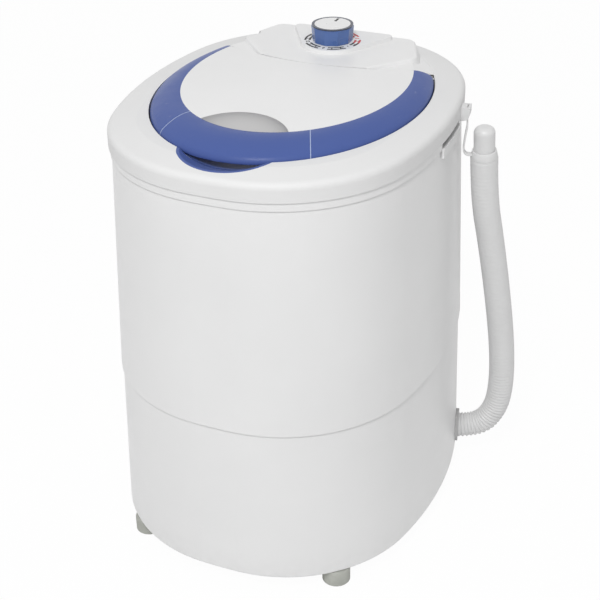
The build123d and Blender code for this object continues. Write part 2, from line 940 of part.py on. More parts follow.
def timer_knob():
    foot = at_z(knob_z, RegularPolygon(knob_foot_radius, knob_sides, rotation=90))
    head = at_z(knob_top_z - knob_rim, RegularPolygon(knob_radius, knob_sides, rotation=90))
    knob = loft([foot, head], ruled=True)
    knob += solid_rod(knob_radius - knob_rim_step, knob_top_z - knob_rim, knob_top_z)
    knob -= solid_rod(cap_radius + cap_fit, knob_top_z - cap_depth, knob_top_z)
    hub = timer_shaft_radius + knob_hub_wall
    knob -= ring(knob_foot_radius - knob_wall, hub, knob_z, knob_z + knob_hollow)
    knob -= solid_rod(timer_shaft_radius + cap_fit, knob_z, knob_top_z - cap_depth - knob_roof)
    return Pos(0, knob_y) * knob


def knob_cap():
    cap = at_z(knob_top_z - cap_depth / 2, Cylinder(cap_radius, cap_depth))
    pointer = Pos(0, cap_radius - pointer_inset, knob_top_z) * Box(pointer_width, pointer_length, cap_depth)
    return Pos(0, knob_y) * (cap - pointer)


def inlet_run(radius):
    """Round bar along the inlet pipe, from the console down and forward over the tub."""
    low = deck_top_z + inlet_bore + inlet_wall
    path = FilletPolyline(
        (inlet_x, inlet_y, inlet_top_z),
        (inlet_x, inlet_y, low),
        (inlet_spout_x, inlet_spout_y, low),
        radius=inlet_bend,
    )
    section = Plane(origin=(inlet_x, inlet_y, inlet_top_z), z_dir=(0, 0, -1))
    return sweep(section * Circle(radius), path)


def water_inlet():
    return inlet_run(inlet_bore + inlet_wall) - inlet_run(inlet_bore)


def overflow_cover():
    """Slotted plate that stands against the tub wall on the hose side."""
    low = overflow_base_z
    high = overflow_base_z + overflow_height
    slope = (tub_top_radius - tub_bottom_radius) / (split_z - tub_floor_z)
    floor_radius = tub_bottom_radius - overflow_gap
    near = floor_radius + slope * (low - tub_floor_z)
    far = floor_radius + slope * (high - tub_floor_z)
    profile = make_face(
        Polyline(
            (near - overflow_plate, low),
            (near, low),
            (far, high),
            (far - overflow_plate, high),
            close=True,
        )
    )
    sweep_angle = math.degrees(overflow_width / far)
    plate = revolve(Plane.XZ * profile, Axis.Z, sweep_angle)
    plate = Rot(0, 0, overflow_angle - sweep_angle / 2) * plate
    pitch = overflow_height / (overflow_slots + 1)
    for row in range(overflow_slots):
        slot = Box(6 * overflow_plate, overflow_slot_length, overflow_slot)
        plate -= Rot(0, 0, overflow_angle) * Pos(far, 0, low + pitch * (row + 1)) * slot
    return Pos(0, tub_y) * plate


def pulsator():
    low = tub_floor_z + pulsator_lift
    plate_top = low + pulsator_plate
    rim_top = low + pulsator_rim
    cone_top = low + pulsator_cone
    rim_foot = pulsator_radius - pulsator_rim_lean
    rim_inner = pulsator_radius - pulsator_rim_top
    profile = make_face(
        [
            Line((0, low), (rim_foot, low)),
            Line((rim_foot, low), (pulsator_radius, rim_top)),
            Line((pulsator_radius, rim_top), (rim_inner, rim_top)),
            Line((rim_inner, rim_top), (pulsator_dish_radius, plate_top)),
            ThreePointArc(
                (pulsator_dish_radius, plate_top),
                (pulsator_waist_radius, low + pulsator_waist),
                (pulsator_hub_radius, cone_top),
            ),
            Line((pulsator_hub_radius, cone_top), (0, cone_top)),
            Line((0, cone_top), (0, low)),
        ]
    )
    disc = revolve(Plane.XZ * profile, Axis.Z)
    vane_plan = SlotOverall(vane_length, vane_width)
    vane = extrude(at_z(low, vane_plan), vane_height, taper=vane_draft_angle)
    vane = fillet(vane.faces().sort_by(Axis.Z)[-1].edges(), vane_round)
    turn = 360 / pulsator_vanes
    for index in range(pulsator_vanes):
        disc += Rot(0, 0, turn * index) * Pos(vane_reach, 0, 0) * Rot(0, 0, vane_angle) * vane
    pitch = 360 / pulsator_holes
    for index in range(pulsator_holes):
        hole = Pos(pulsator_hole_reach, 0, low) * Cylinder(pulsator_hole, 6 * pulsator_rim)
        angle = pitch * (index + 0.5)
        disc -= Rot(0, 0, angle) * hole
    disc -= at_z(low, Cylinder(spigot_radius + spigot_fit, 4 * pulsator_cone))
    return Pos(0, tub_y) * disc


def pulsator_shaft():
    low = belt_z - pulley_hub_length / 2 - nut_height
    shoulder = tub_floor_z + pulsator_lift
    pulley_top = belt_z + pulley_hub_length / 2
    top = shoulder + pulsator_cone - spigot_drop
    shaft = solid_rod(shaft_radius, pulley_top, shoulder)
    shaft += solid_rod(spigot_radius, low, pulley_top)
    shaft += solid_rod(spigot_radius, shoulder, top)
    shaft -= solid_rod(screw_shank + spigot_fit, top - screw_length, top)
    return Pos(0, tub_y) * shaft


def solid_rod(radius, low, high):
    return at_z((low + high) / 2, Cylinder(radius, high - low))


def pulsator_screw():
    seat = tub_floor_z + pulsator_lift + pulsator_cone
    head = solid_rod(screw_head_radius, seat, seat + screw_head)
    head = fillet(head.edges().group_by(Axis.Z)[-1], screw_round)
    head += solid_rod(screw_shank, seat - screw_length, seat)
    head -= at_z(seat + screw_head, Box(2 * screw_head_radius, screw_slot, 2 * screw_slot_depth))
    return Pos(0, tub_y) * head


def bearing_housing():
    top = tub_floor_under_z
    body = solid_rod(housing_flange_radius, top - housing_flange, top)
    body += solid_rod(housing_radius, top - housing_drop, top)
    near = housing_radius - housing_rib_inset
    far = housing_flange_radius - housing_rib_inset
    slope = Polygon(
        (near, top),
        (far, top),
        (far, top - housing_flange),
        (near, top - housing_drop + housing_rib_foot),
        align=None,
    )
    rib = extrude(Plane.XZ * slope, housing_rib / 2, both=True)
    for index in range(housing_ribs):
        body += Rot(0, 0, 360 / housing_ribs * index) * rib
    body += solid_rod(bush_radius + wall - housing_neck_fit, top, tub_floor_z)
    body -= solid_rod(bush_radius, top - housing_drop, tub_floor_z)
    return Pos(0, tub_y) * body


def bush(low):
    return Pos(0, tub_y) * ring(bush_radius, shaft_radius + running_fit, low, low + bush_length)


def shaft_seal():
    high = tub_floor_z
    return Pos(0, tub_y) * ring(bush_radius, shaft_radius + running_fit, high - seal_length, high)


def pulley(belt_radius, hub_bore, hub_low, hub_high, holes):
    """Grooved wheel for the belt, with a hub and a ring of lightening holes."""
    groove = belt_radius - belt_gap
    rim = belt_radius + belt_thickness + rim_over_belt
    half_groove = pulley_half - pulley_flange
    wheel = solid_rod(rim, belt_z - pulley_half, belt_z + pulley_half)
    wheel -= ring(2 * rim, groove, belt_z - half_groove, belt_z + half_groove)
    if holes:
        edge = groove - pulley_rim
        hollow = ring(edge, pulley_hub_radius, belt_z - pulley_half, belt_z + pulley_half)
        web = ring(edge, pulley_hub_radius, belt_z - pulley_web / 2, belt_z + pulley_web / 2)
        hole = Pos((edge + pulley_hub_radius) / 2, 0, belt_z) * Cylinder(pulley_hole_radius, 4 * pulley_web)
        for index in range(holes):
            web -= Rot(0, 0, 360 / holes * index) * hole
        wheel = wheel - hollow + web
    wheel += solid_rod(min(pulley_hub_radius, groove), hub_low, hub_high)
    return wheel - solid_rod(hub_bore, hub_low, hub_high)


def driven_pulley():
    half = pulley_hub_length / 2
    wheel = pulley(driven_belt_radius, spigot_radius + spigot_fit, belt_z - half, belt_z + half, pulley_holes)
    return Pos(0, tub_y) * wheel


def pulley_nut():
    low = belt_z - pulley_hub_length / 2 - nut_height
    nut = at_z(low, extrude(RegularPolygon(nut_radius, 6), nut_height))
    return Pos(0, tub_y) * (nut - solid_rod(spigot_radius + spigot_fit, low, low + nut_height))


def belt_loop(grow):
    """Plan of the belt round both pulleys, with the motor straight behind the pulsator."""
    lean = math.asin((driven_belt_radius - motor_belt_radius) / drive_span)
    near = driven_belt_radius + grow
    far = motor_belt_radius + grow
    near_right = polar((0, 0), near, lean)
    near_left = polar((0, 0), near, math.pi - lean)
    far_right = polar((0, drive_span), far, lean)
    far_left = polar((0, drive_span), far, math.pi - lean)
    return make_face(
        [
            Line(near_right, far_right),
            ThreePointArc(far_right, (0, drive_span + far), far_left),
            Line(far_left, near_left),
            ThreePointArc(near_left, (0, -near), near_right),
        ]
    )


def drive_belt():
    band = extrude(belt_loop(belt_thickness) - belt_loop(0), belt_width)
    return Pos(0, tub_y, belt_z - belt_width / 2) * Rot(0, 0, drive_angle) * band


def motor_place():
    return Pos(0, tub_y) * Rot(0, 0, drive_angle) * Pos(0, drive_span)


def motor_mount(x_side, y_side):
    reach = motor_plate_size / 2 - motor_mount_inset
    mount = solid_rod(motor_mount_radius, floor_top_z, floor_top_z + motor_mount_height)
    return motor_place() * Pos(x_side * reach, y_side * reach) * mount


def motor_base_plate():
    plan = RectangleRounded(motor_plate_size, motor_plate_size, motor_mount_inset)
    low = floor_top_z + motor_mount_height
    return motor_place() * at_z(low, extrude(plan, motor_plate))


def motor_can():
    low = motor_low_z
    high = motor_top_z
    can = solid_rod(motor_radius, low, high)
    for index in range(motor_fins):
        slot = Box(2 * motor_fin_depth, motor_fin_width, motor_fin_height)
        can -= Rot(0, 0, 360 / motor_fins * index) * Pos(motor_radius, 0, (low + high) / 2) * slot
    can -= solid_rod(motor_shaft_radius + running_fit, high - motor_shaft_depth, high)
    return motor_place() * can


def motor_end_bell():
    low = motor_top_z
    bell = solid_rod(end_bell_radius, low, low + end_bell_height)
    bell = chamfer(bell.edges().group_by(Axis.Z)[-1], end_bell_chamfer)
    return motor_place() * (bell - solid_rod(motor_shaft_radius + running_fit, low, low + end_bell_height))


def motor_shaft():
    low = motor_top_z - motor_shaft_depth
    return motor_place() * solid_rod(motor_shaft_radius, low, belt_z + pulley_half)


def motor_pulley():
    low = belt_z - pulley_half
    return motor_place() * pulley(motor_belt_radius, motor_shaft_radius, low, belt_z + pulley_half, 0)


def run_capacitor():
    can = solid_rod(capacitor_radius, floor_top_z, floor_top_z + capacitor_height)
    can = fillet(can.edges().group_by(Axis.Z)[-1], capacitor_round)
    return Pos(capacitor_x, capacitor_y) * can


def capacitor_clip():
    low = floor_top_z
    band = ring(capacitor_radius + clip_wall, capacitor_radius, low, low + clip_width)
    tab = Pos(0, capacitor_radius + clip_tab / 2, low + clip_wall / 2) * Box(clip_width, clip_tab, clip_wall)
    tab -= solid_rod(capacitor_radius + clip_wall / 2, low, low + clip_width)
    return Pos(capacitor_x, capacitor_y) * (band + tab)


def foot(x, y):
    profile = make_face(
        Polyline(
            (0, 0),
            (foot_radius - foot_edge, 0),
            (foot_radius, foot_edge),
            (foot_radius, foot_height - foot_neck),
            (foot_top_radius, foot_height),
            (foot_peg - foot_peg_fit, foot_height),
            (foot_peg - foot_peg_fit, foot_height + foot_peg_length),
            (0, foot_height + foot_peg_length),
            close=True,
        )
    )
    return Pos(x, y) * revolve(Plane.XZ * profile, Axis.Z)


def cord_gland():
    body = solid_rod(gland_radius, 0, gland_flange)
    neck = solid_rod(gland_radius - gland_step - gland_fit, -gland_neck, 0)
    return gland_place() * (body + neck)


def hose_grommet():
    """Flanged rubber ring where the hose comes out of the base."""
    bore = Circle(hose_radius + sump_fit)
    hole = grommet_radius - grommet_wall
    flange = extrude(drain_plane(-grommet_wall) * (Circle(grommet_radius) - bore), 2 * grommet_wall)
    flange -= frustum(base_flare, base_z, base_top_offset, seam_z)
    neck = extrude(drain_plane(-wall - 1) * (Circle(hole - sump_fit) - bore), wall + grommet_wall)
    return flange + neck


def drain_pipe():
    """Stiff elbow from the tub's sump down and out to the hose."""
    sump_x, sump_y, _ = drain_point(-drain_run)
    points = [(sump_x, sump_y, tub_floor_under_z), (sump_x, sump_y, drain_z), drain_point(-hose_inset)]
    path = FilletPolyline(*points, radius=drain_pipe_bend)
    top = Plane(origin=points[0], z_dir=(0, 0, -1))
    return sweep(top * Circle(drain_pipe_radius), path) - sweep(top * Circle(drain_pipe_bore), path)


def hose_route():
    """Hand-placed points of the hose from the base up to its nozzle."""
    points = [drain_point(-hose_inset), drain_point(hose_first_run)]
    points += [(half_width + out, y, base_z + rise) for out, y, rise in hose_low_points]
    points += [(half_width + out, y, split_z - drop) for out, y, drop in hose_high_points]
    return points


def hose_path():
    points = [Vector(*point) for point in hose_route()]
    radii = []
    for before, here, after in zip(points, points[1:], points[2:]):
        turn = math.radians((here - before).get_angle(after - here))
        shorter = min((here - before).length, (after - here).length)
        radii.append(0.45 * shorter / math.tan(turn / 2))
    print("hose radii", [round(radius) for radius in radii])
    return FilletPolyline(*points, radius=radii)


def hose_section(path, distance, radius):
    """Circle square to the path at a distance along it, on a steady X axis."""
    share = distance / path.length
    place = Plane(origin=path @ share, x_dir=(0, 1, 0), z_dir=path % share)
    return place * Circle(radius)


def drain_hose():
    path = hose_path()
    length = path.length
    sections = [hose_section(path, 0, hose_radius), hose_section(path, rib_start, hose_radius)]
    for index in range(rib_count):
        low = rib_start + rib_pitch * index
        sections.append(hose_section(path, low + rib_pitch * 0.25, hose_valley))
        sections.append(hose_section(path, low + rib_pitch * 0.45, hose_valley))
        sections.append(hose_section(path, low + rib_pitch * 0.7, hose_radius))
        sections.append(hose_section(path, low + rib_pitch, hose_radius))
    ribbed = loft(sections, ruled=True)
    rib_end = rib_start + rib_pitch * rib_count
    upper = path.trim(rib_end / length, 1.0)
    plain = sweep(hose_section(path, rib_end, hose_radius), upper)
    hose = ribbed + plain
    hose -= sweep(hose_section(path, 0, hose_bore), path)
    print("hose length", round(length, 1), "volume", round(hose.volume))
    return hose


def nozzle_plane():
    points = [Vector(*point) for point in hose_route()]
    return Plane(origin=points[-1], x_dir=(0, 1, 0), z_dir=points[-1] - points[-2])


def hose_nozzle():
    """Blunt spout pushed into the top of the hose, with its mouth at the rear."""
    body = solid_rod(nozzle_radius, 0, nozzle_length)
    body = fillet(body.edges().group_by(Axis.Z)[-1], nozzle_round)
    body += solid_rod(hose_radius, 0, nozzle_collar)
    body += solid_rod(hose_bore - nozzle_fit, -nozzle_socket, 0)
    body -= solid_rod(nozzle_bore, -nozzle_socket, nozzle_length - nozzle_round)
    mouth = Rot(0, 90, 0) * Cylinder(nozzle_mouth, 2 * nozzle_radius)
    body -= Pos(nozzle_radius, 0, nozzle_length - nozzle_round - nozzle_mouth) * mouth
    return nozzle_plane() * body


def hook_frame():
    angle = math.asin(hook_y / (side_radius + cover_lip))
    x, y = polar((side_centre_x, 0), side_radius + cover_lip, angle)
    return Pos(x, y, hook_z) * Rot(0, 0, math.degrees(angle))


def hose_hook():
    """Block on the side of the cover with a slot that takes the hose strap."""
    block = Pos(hook_reach / 2, 0, 0) * Box(hook_reach, hook_width, hook_height)
    low_edge = block.edges().filter_by(Axis.Y).group_by(Axis.Z)[0].sort_by(Axis.X)[-1]
    block = fillet(low_edge, hook_round)
    slot = Pos(hook_slot_x, 0, 0) * Box(hook_slot, strap_width + 2 * hook_slot_fit, 2 * hook_height)
    block = hook_frame() * (block - slot)
    return block - prism(outline(cover_lip), hook_z - hook_height, hook_z + hook_height)


def hose_strap():
    """Thin strip that hangs through the hook and ends in a ring round the neck of the nozzle."""
    neck = nozzle_radius + nozzle_fit
    cone = Cone(neck + ring_wall + ring_flare, neck + ring_wall, ring_height) - Cylinder(neck, 2 * ring_height)
    loop = nozzle_plane() * Pos(0, 0, nozzle_collar + ring_height / 2) * cone
    middle = loop.center()
    top = hook_z + hook_height / 2
    low = middle.Z - ring_height / 2
    strip = Pos(hook_slot_x, 0, (top + low) / 2 - hook_z) * Box(strap_thickness, strap_width, top - low)
    head = Pos(hook_slot_x, 0, hook_height / 2 + strap_head / 2) * Box(2 * hook_slot, strap_width, strap_head)
    hang = hook_frame() * (strip + head)
    start = hook_frame() * Pos(hook_slot_x, 0, 0)
    foot_point = Vector(start.position.X, start.position.Y, middle.Z)
    reach = middle - foot_point
    arm_length = reach.length - neck
    turn = math.degrees(math.atan2(reach.Y, reach.X))
    arm = Pos(arm_length / 2, 0, 0) * Box(arm_length, strap_width, strap_arm)
    arm = Pos(*foot_point) * Rot(0, 0, turn) * arm
    arm -= nozzle_plane() * Pos(0, 0, ring_height) * Cylinder(neck, 4 * ring_height)
    return hang + arm + loop


save("base", base())
save("cabinet", cabinet())
save("wash_tub", wash_tub())
save("tub_pan", tub_pan())
save("tub_flange", tub_flange())
save("hand_grip_left", hand_grip(-1))
save("hand_grip_right", hand_grip(1))
save("top_cover", top_cover())
save("scoop_insert", scoop_insert())
save("control_panel", control_panel())
save("lid_panel", lid_panel())
band = trim_band()
save("lid_handle", lid_handle(band))
save("trim_left", side_trim(band, -1))
save("trim_right", side_trim(band, 1))
save("hinge_pin_left", hinge_pin(-1))
save("hinge_pin_right", hinge_pin(1))
save("wash_timer", wash_timer())
save("timer_shaft", timer_shaft())
save("timer_knob", timer_knob())
save("knob_cap", knob_cap())
save("water_inlet", water_inlet())
save("overflow_cover", overflow_cover())
save("pulsator", pulsator())
save("pulsator_screw", pulsator_screw())
save("pulsator_shaft", pulsator_shaft())
save("bearing_housing", bearing_housing())
save("lower_bush", bush(tub_floor_under_z - housing_drop + bush_inset))
save("upper_bush", bush(tub_floor_z - seal_length - bush_length - bush_inset))
save("shaft_seal", shaft_seal())
save("driven_pulley", driven_pulley())
save("pulley_nut", pulley_nut())
save("drive_belt", drive_belt())
for x_side, x_name in ((-1, "left"), (1, "right")):
    for y_side, y_name in ((-1, "front"), (1, "rear")):
        save(f"motor_mount_{y_name}_{x_name}", motor_mount(x_side, y_side))
        save(f"foot_{y_name}_{x_name}", foot(x_side * foot_x, y_side * foot_y))
save("motor_plate", motor_base_plate())
save("motor_can", motor_can())
save("motor_end_bell", motor_end_bell())
save("motor_shaft", motor_shaft())
save("motor_pulley", motor_pulley())
save("run_capacitor", run_capacitor())
save("capacitor_clip", capacitor_clip())
save("cord_gland", cord_gland())
save("hose_grommet", hose_grommet())
save("drain_hose", drain_hose())
save("hose_nozzle", hose_nozzle())
save("hose_hook", hose_hook())
save("hose_strap", hose_strap())
save("drain_pipe", drain_pipe())
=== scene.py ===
import math

import bmesh
import bpy
from mathutils import Matrix, Vector


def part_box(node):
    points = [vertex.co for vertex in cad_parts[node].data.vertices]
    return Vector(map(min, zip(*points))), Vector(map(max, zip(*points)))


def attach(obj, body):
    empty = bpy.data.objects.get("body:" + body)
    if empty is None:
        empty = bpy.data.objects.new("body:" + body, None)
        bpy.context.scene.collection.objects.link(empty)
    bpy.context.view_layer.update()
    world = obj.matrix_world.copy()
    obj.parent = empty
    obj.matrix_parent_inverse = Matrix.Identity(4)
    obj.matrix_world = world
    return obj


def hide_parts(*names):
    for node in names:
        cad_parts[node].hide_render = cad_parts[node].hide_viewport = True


bl_info = {
    "name": "Portable washing machine",
    "version": (1, 0, 0),
    "blender": (4, 5, 0),
    "location": "View3D > Sidebar > Washer",
    "description": "Finishes, blue band, drain hose, dial print and studio of a portable washing machine",
    "category": "Object",
}

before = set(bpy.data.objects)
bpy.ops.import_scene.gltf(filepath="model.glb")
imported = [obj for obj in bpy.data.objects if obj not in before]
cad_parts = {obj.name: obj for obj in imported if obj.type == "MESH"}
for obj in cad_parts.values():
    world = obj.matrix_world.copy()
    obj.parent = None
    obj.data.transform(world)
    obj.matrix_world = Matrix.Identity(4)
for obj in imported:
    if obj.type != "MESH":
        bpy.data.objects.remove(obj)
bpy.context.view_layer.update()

# Drain hose from its outlet in the base up to its nozzle, in metres
HOSE_ROUTE = (
    (0.16585, 0.09996, 0.0425),
    (0.19593, 0.10746, 0.0425),
    (0.2160, 0.1130, 0.070),
    (0.2215, 0.1115, 0.108),
    (0.2205, 0.1070, 0.160),
    (0.2140, 0.0980, 0.230),
    (0.2040, 0.0855, 0.312),
    (0.1955, 0.0730, 0.374),
    (0.1940, 0.0702, 0.420),
)

# Top end of the hose, where the nozzle and the strap's ring sit
NOZZLE_FOOT = Vector(HOSE_ROUTE[-1])
NOZZLE_UP = (Vector(HOSE_ROUTE[-1]) - Vector(HOSE_ROUTE[-2])).normalized()

# Strap: where it hangs, how high its points are and how far each leans out towards the nozzle
STRAP_HANG = Vector((0.1741, 0.0639, 0.0))
STRAP_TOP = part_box("hose_hook")[1].z + 0.0015
STRAP_HEIGHTS = (STRAP_TOP, 0.472, 0.460, 0.448, 0.436)
STRAP_LEANS = (0.0, 0.0006, 0.0022, 0.0004, -0.0008)

# Hollow that the bar bridges: part of a rounded bowl, its middle level with the top of the bar
DISH_CENTRE = (0.0, -0.150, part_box("lid_handle")[1].z)
DISH_RADII = (0.056, 0.058, 0.025)

# Seams at the two ends of the bar: a point on the right one and the way out of the bar there
SEAM_POINT = Vector((0.075, -0.129, 0.0))
SEAM_OUT = Vector((0.922, 0.387, 0.0)).normalized()

# Ovals that bound the blue band in plan: half width, half depth and place of the middle along Y
BAND_OUTER = (0.1425, 0.1845, 0.008)
BAND_INNER = (0.1180, 0.1515, 0.020)

# Fall of the band from its inner oval to its outer one, and height of its bulge as a share of its width
BAND_FALL = 0.010
BAND_BULGE = 0.10

# Middle of the dial on top of the console, and the height of the dark edge round the knob
knob_low, knob_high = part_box("timer_knob")
DIAL_CENTRE = (knob_low + knob_high) / 2
BOSS_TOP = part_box("control_panel")[1].z
KNOB_RIM = knob_high.z - 0.0013

# Thickness of the printed ink, and the distance under which corners of a mesh are merged
INK_DEPTH = 0.00006
MERGE = 0.00001

# Colours of the working pieces, which are set here because the shell hides most of them
STEEL = (0.55, 0.56, 0.57)
ALLOY = (0.60, 0.61, 0.62)
BRONZE = (0.50, 0.33, 0.14)
MOTOR_PAINT = (0.10, 0.11, 0.12)
BLACK_RUBBER = (0.03, 0.03, 0.03)
GREY_RUBBER = (0.55, 0.55, 0.55)
TIMER_PLASTIC = (0.25, 0.25, 0.26)


class WasherColours(bpy.types.PropertyGroup):
    """Colours of the mouldings and fittings."""

    shell: bpy.props.FloatVectorProperty(
        name="Shell", description="White outer mouldings", subtype="COLOR", size=3, min=0, max=1,
        default=(0.80, 0.80, 0.80),
    )
    trim: bpy.props.FloatVectorProperty(
        name="Trim", description="Blue trims, handle bar and scoop", subtype="COLOR", size=3, min=0, max=1,
        default=(0.073, 0.115, 0.330),
    )
    knob: bpy.props.FloatVectorProperty(
        name="Knob", description="Blue skirt of the dial knob", subtype="COLOR", size=3, min=0, max=1,
        default=(0.070, 0.140, 0.370),
    )
    knob_rim: bpy.props.FloatVectorProperty(
        name="Knob rim", description="Dark edge round the knob", subtype="COLOR", size=3, min=0, max=1,
        default=(0.022, 0.030, 0.060),
    )
    tub: bpy.props.FloatVectorProperty(
        name="Tub", description="Wash tub and the fittings inside it", subtype="COLOR", size=3, min=0, max=1,
        default=(0.72, 0.73, 0.73),
    )
    hose: bpy.props.FloatVectorProperty(
        name="Hose", description="Soft plastic of the drain hose", subtype="COLOR", size=3, min=0, max=1,
        default=(0.71, 0.71, 0.71),
    )
    fitting: bpy.props.FloatVectorProperty(
        name="Fittings", description="Nozzle, strap and hook", subtype="COLOR", size=3, min=0, max=1,
        default=(0.72, 0.72, 0.72),
    )
    foot: bpy.props.FloatVectorProperty(
        name="Feet", description="Rubber of the feet", subtype="COLOR", size=3, min=0, max=1,
        default=(0.47, 0.48, 0.44),
    )
    # Painted shade: a darker grey laid on the lid's white in the recess behind the handle bar, standing in
    # for the shade that falls there
    dish: bpy.props.FloatVectorProperty(
        name="Dish", description="Matt recess behind the handle bar", subtype="COLOR", size=3, min=0, max=1,
        default=(0.53, 0.525, 0.52),
    )
    seam: bpy.props.FloatVectorProperty(
        name="Seam", description="Pale seams of the handle bar", subtype="COLOR", size=3, min=0, max=1,
        default=(0.38, 0.45, 0.66),
    )
    ink: bpy.props.FloatVectorProperty(
        name="Ink", description="Dark print of the dial", subtype="COLOR", size=3, min=0, max=1,
        default=(0.012, 0.012, 0.014),
    )
    ink_red: bpy.props.FloatVectorProperty(
        name="Red ink", description="Red print of the dial", subtype="COLOR", size=3, min=0, max=1,
        default=(0.52, 0.045, 0.055),
    )


class WasherHose(bpy.types.PropertyGroup):
    """Sizes of the drain hose and its strap."""

    radius: bpy.props.FloatProperty(
        name="Radius", description="Outside radius over the ribs", unit="LENGTH", default=0.015,
    )
    wall: bpy.props.FloatProperty(
        name="Wall", description="Thickness of the hose wall", unit="LENGTH", default=0.002,
    )
    rib_pitch: bpy.props.FloatProperty(
        name="Rib pitch", description="Distance from rib to rib", unit="LENGTH", default=0.0044,
    )
    rib_depth: bpy.props.FloatProperty(
        name="Rib depth", description="Depth of the grooves at the bend", unit="LENGTH", default=0.0016,
    )
    faint_depth: bpy.props.FloatProperty(
        name="Upper rib depth", description="Depth of the grooves higher up", unit="LENGTH", default=0.0002,
    )
    bend_length: bpy.props.FloatProperty(
        name="Bend length", description="Length of the deeply ribbed bend", unit="LENGTH", default=0.060,
    )
    ribbed_length: bpy.props.FloatProperty(
        name="Ribbed length", description="Length over which the ribs fade", unit="LENGTH", default=0.165,
    )
    strap_width: bpy.props.FloatProperty(
        name="Strap width", description="Width of the strap", unit="LENGTH", default=0.008,
    )
    strap_thickness: bpy.props.FloatProperty(
        name="Strap thickness", description="Thickness of the strap", unit="LENGTH", default=0.0018,
    )


class WasherDial(bpy.types.PropertyGroup):
    """Sizes of the print round the dial."""

    inner: bpy.props.FloatProperty(
        name="Inner line", description="Radius of the inner printed line", unit="LENGTH", default=0.0256,
    )
    outer: bpy.props.FloatProperty(
        name="Outer line", description="Radius of the outer printed line", unit="LENGTH", default=0.0306,
    )
    line: bpy.props.FloatProperty(
        name="Line width", description="Width of the printed lines", unit="LENGTH", default=0.0024,
    )
    figure: bpy.props.FloatProperty(
        name="Figure height", description="Height of the printed numbers", unit="LENGTH", default=0.0058,
    )
    pointer_start: bpy.props.FloatProperty(
        name="Pointer start", description="Inner end of the pointer from the knob's axis", unit="LENGTH",
        default=0.0080,
    )
    pointer_end: bpy.props.FloatProperty(
        name="Pointer end", description="Outer end of the pointer from the knob's axis", unit="LENGTH",
        default=0.0192,
    )
    pointer_width: bpy.props.FloatProperty(
        name="Pointer width", description="Width of the pointer", unit="LENGTH", default=0.0026,
    )
    minutes: bpy.props.IntProperty(
        name="Minutes", description="Longest time on the dial", default=15,
    )
    turn: bpy.props.FloatProperty(
        name="Turn", description="Travel of the knob from nothing to the longest time", unit="ROTATION",
        default=math.radians(300),
    )


class WasherStudio(bpy.types.PropertyGroup):
    """Camera, floor and lamps."""

    lens: bpy.props.FloatProperty(name="Lens", description="Focal length in millimetres", default=80.49)
    azimuth: bpy.props.FloatProperty(
        name="Azimuth", description="Turn of the camera round the machine", unit="ROTATION",
        default=math.radians(23.364),
    )
    pitch: bpy.props.FloatProperty(
        name="Pitch", description="How far the camera looks down", unit="ROTATION",
        default=math.radians(30.555),
    )
    roll: bpy.props.FloatProperty(
        name="Roll", description="Tilt of the camera about its own axis", unit="ROTATION",
        default=math.radians(-0.991),
    )
    eye: bpy.props.FloatVectorProperty(
        name="Eye", description="Place of the camera", unit="LENGTH", size=3,
        default=(0.5273, -1.2205, 1.0254),
    )
    shift: bpy.props.FloatVectorProperty(
        name="Shift", description="Small shift of the frame", size=2, default=(0.0080, -0.0002),
    )
    key: bpy.props.FloatProperty(name="Key", description="Power of the main lamp in watts", default=47.0)
    top: bpy.props.FloatProperty(name="Top", description="Power of the overhead lamp in watts", default=1.0)
    sky: bpy.props.FloatProperty(name="Sky", description="Even light from all round", default=0.52)


def plain_material(name):
    """A new material with its nodes, links and shader."""
    material = bpy.data.materials.new(name)
    material.use_nodes = True
    tree = material.node_tree
    return material, tree.nodes, tree.links, tree.nodes["Principled BSDF"]


def noise_from(nodes, links, vector, scale, detail=3.0):
    """Value of a noise of so many lumps to the metre."""
    noise = nodes.new("ShaderNodeTexNoise")
    noise.inputs["Scale"].default_value = scale
    noise.inputs["Detail"].default_value = detail
    links.new(vector, noise.inputs["Vector"])
    return noise.outputs["Fac"]


def spread(nodes, links, value, low, high):
    """A noise value spread between two limits. Most of a noise lies between 0.3 and 0.7."""
    span = nodes.new("ShaderNodeMapRange")
    span.inputs["From Min"].default_value = 0.3
    span.inputs["From Max"].default_value = 0.7
    span.inputs["To Min"].default_value = low
    span.inputs["To Max"].default_value = high
    links.new(value, span.inputs["Value"])
    return span.outputs["Result"]


def two_tone(nodes, links, value, dark, light):
    """Colour between two others, by a value from 0 to 1."""
    tone = nodes.new("ShaderNodeMix")
    tone.data_type = "RGBA"
    tone.inputs["A"].default_value = (*dark, 1.0)
    tone.inputs["B"].default_value = (*light, 1.0)
    links.new(value, tone.inputs["Factor"])
    return tone.outputs["Result"]


def shade_of(colour, share):
    """A colour made darker or lighter."""
    return tuple(channel * share for channel in colour)


def bump_from(nodes, links, value, depth, normal=None):
    """Normal of a skin whose height follows a value, over another normal where one is given."""
    bump = nodes.new("ShaderNodeBump")
    bump.inputs["Strength"].default_value = 1.0
    bump.inputs["Distance"].default_value = depth
    links.new(value, bump.inputs["Height"])
    if normal is not None:
        links.new(normal, bump.inputs["Normal"])
    return bump.outputs["Normal"]


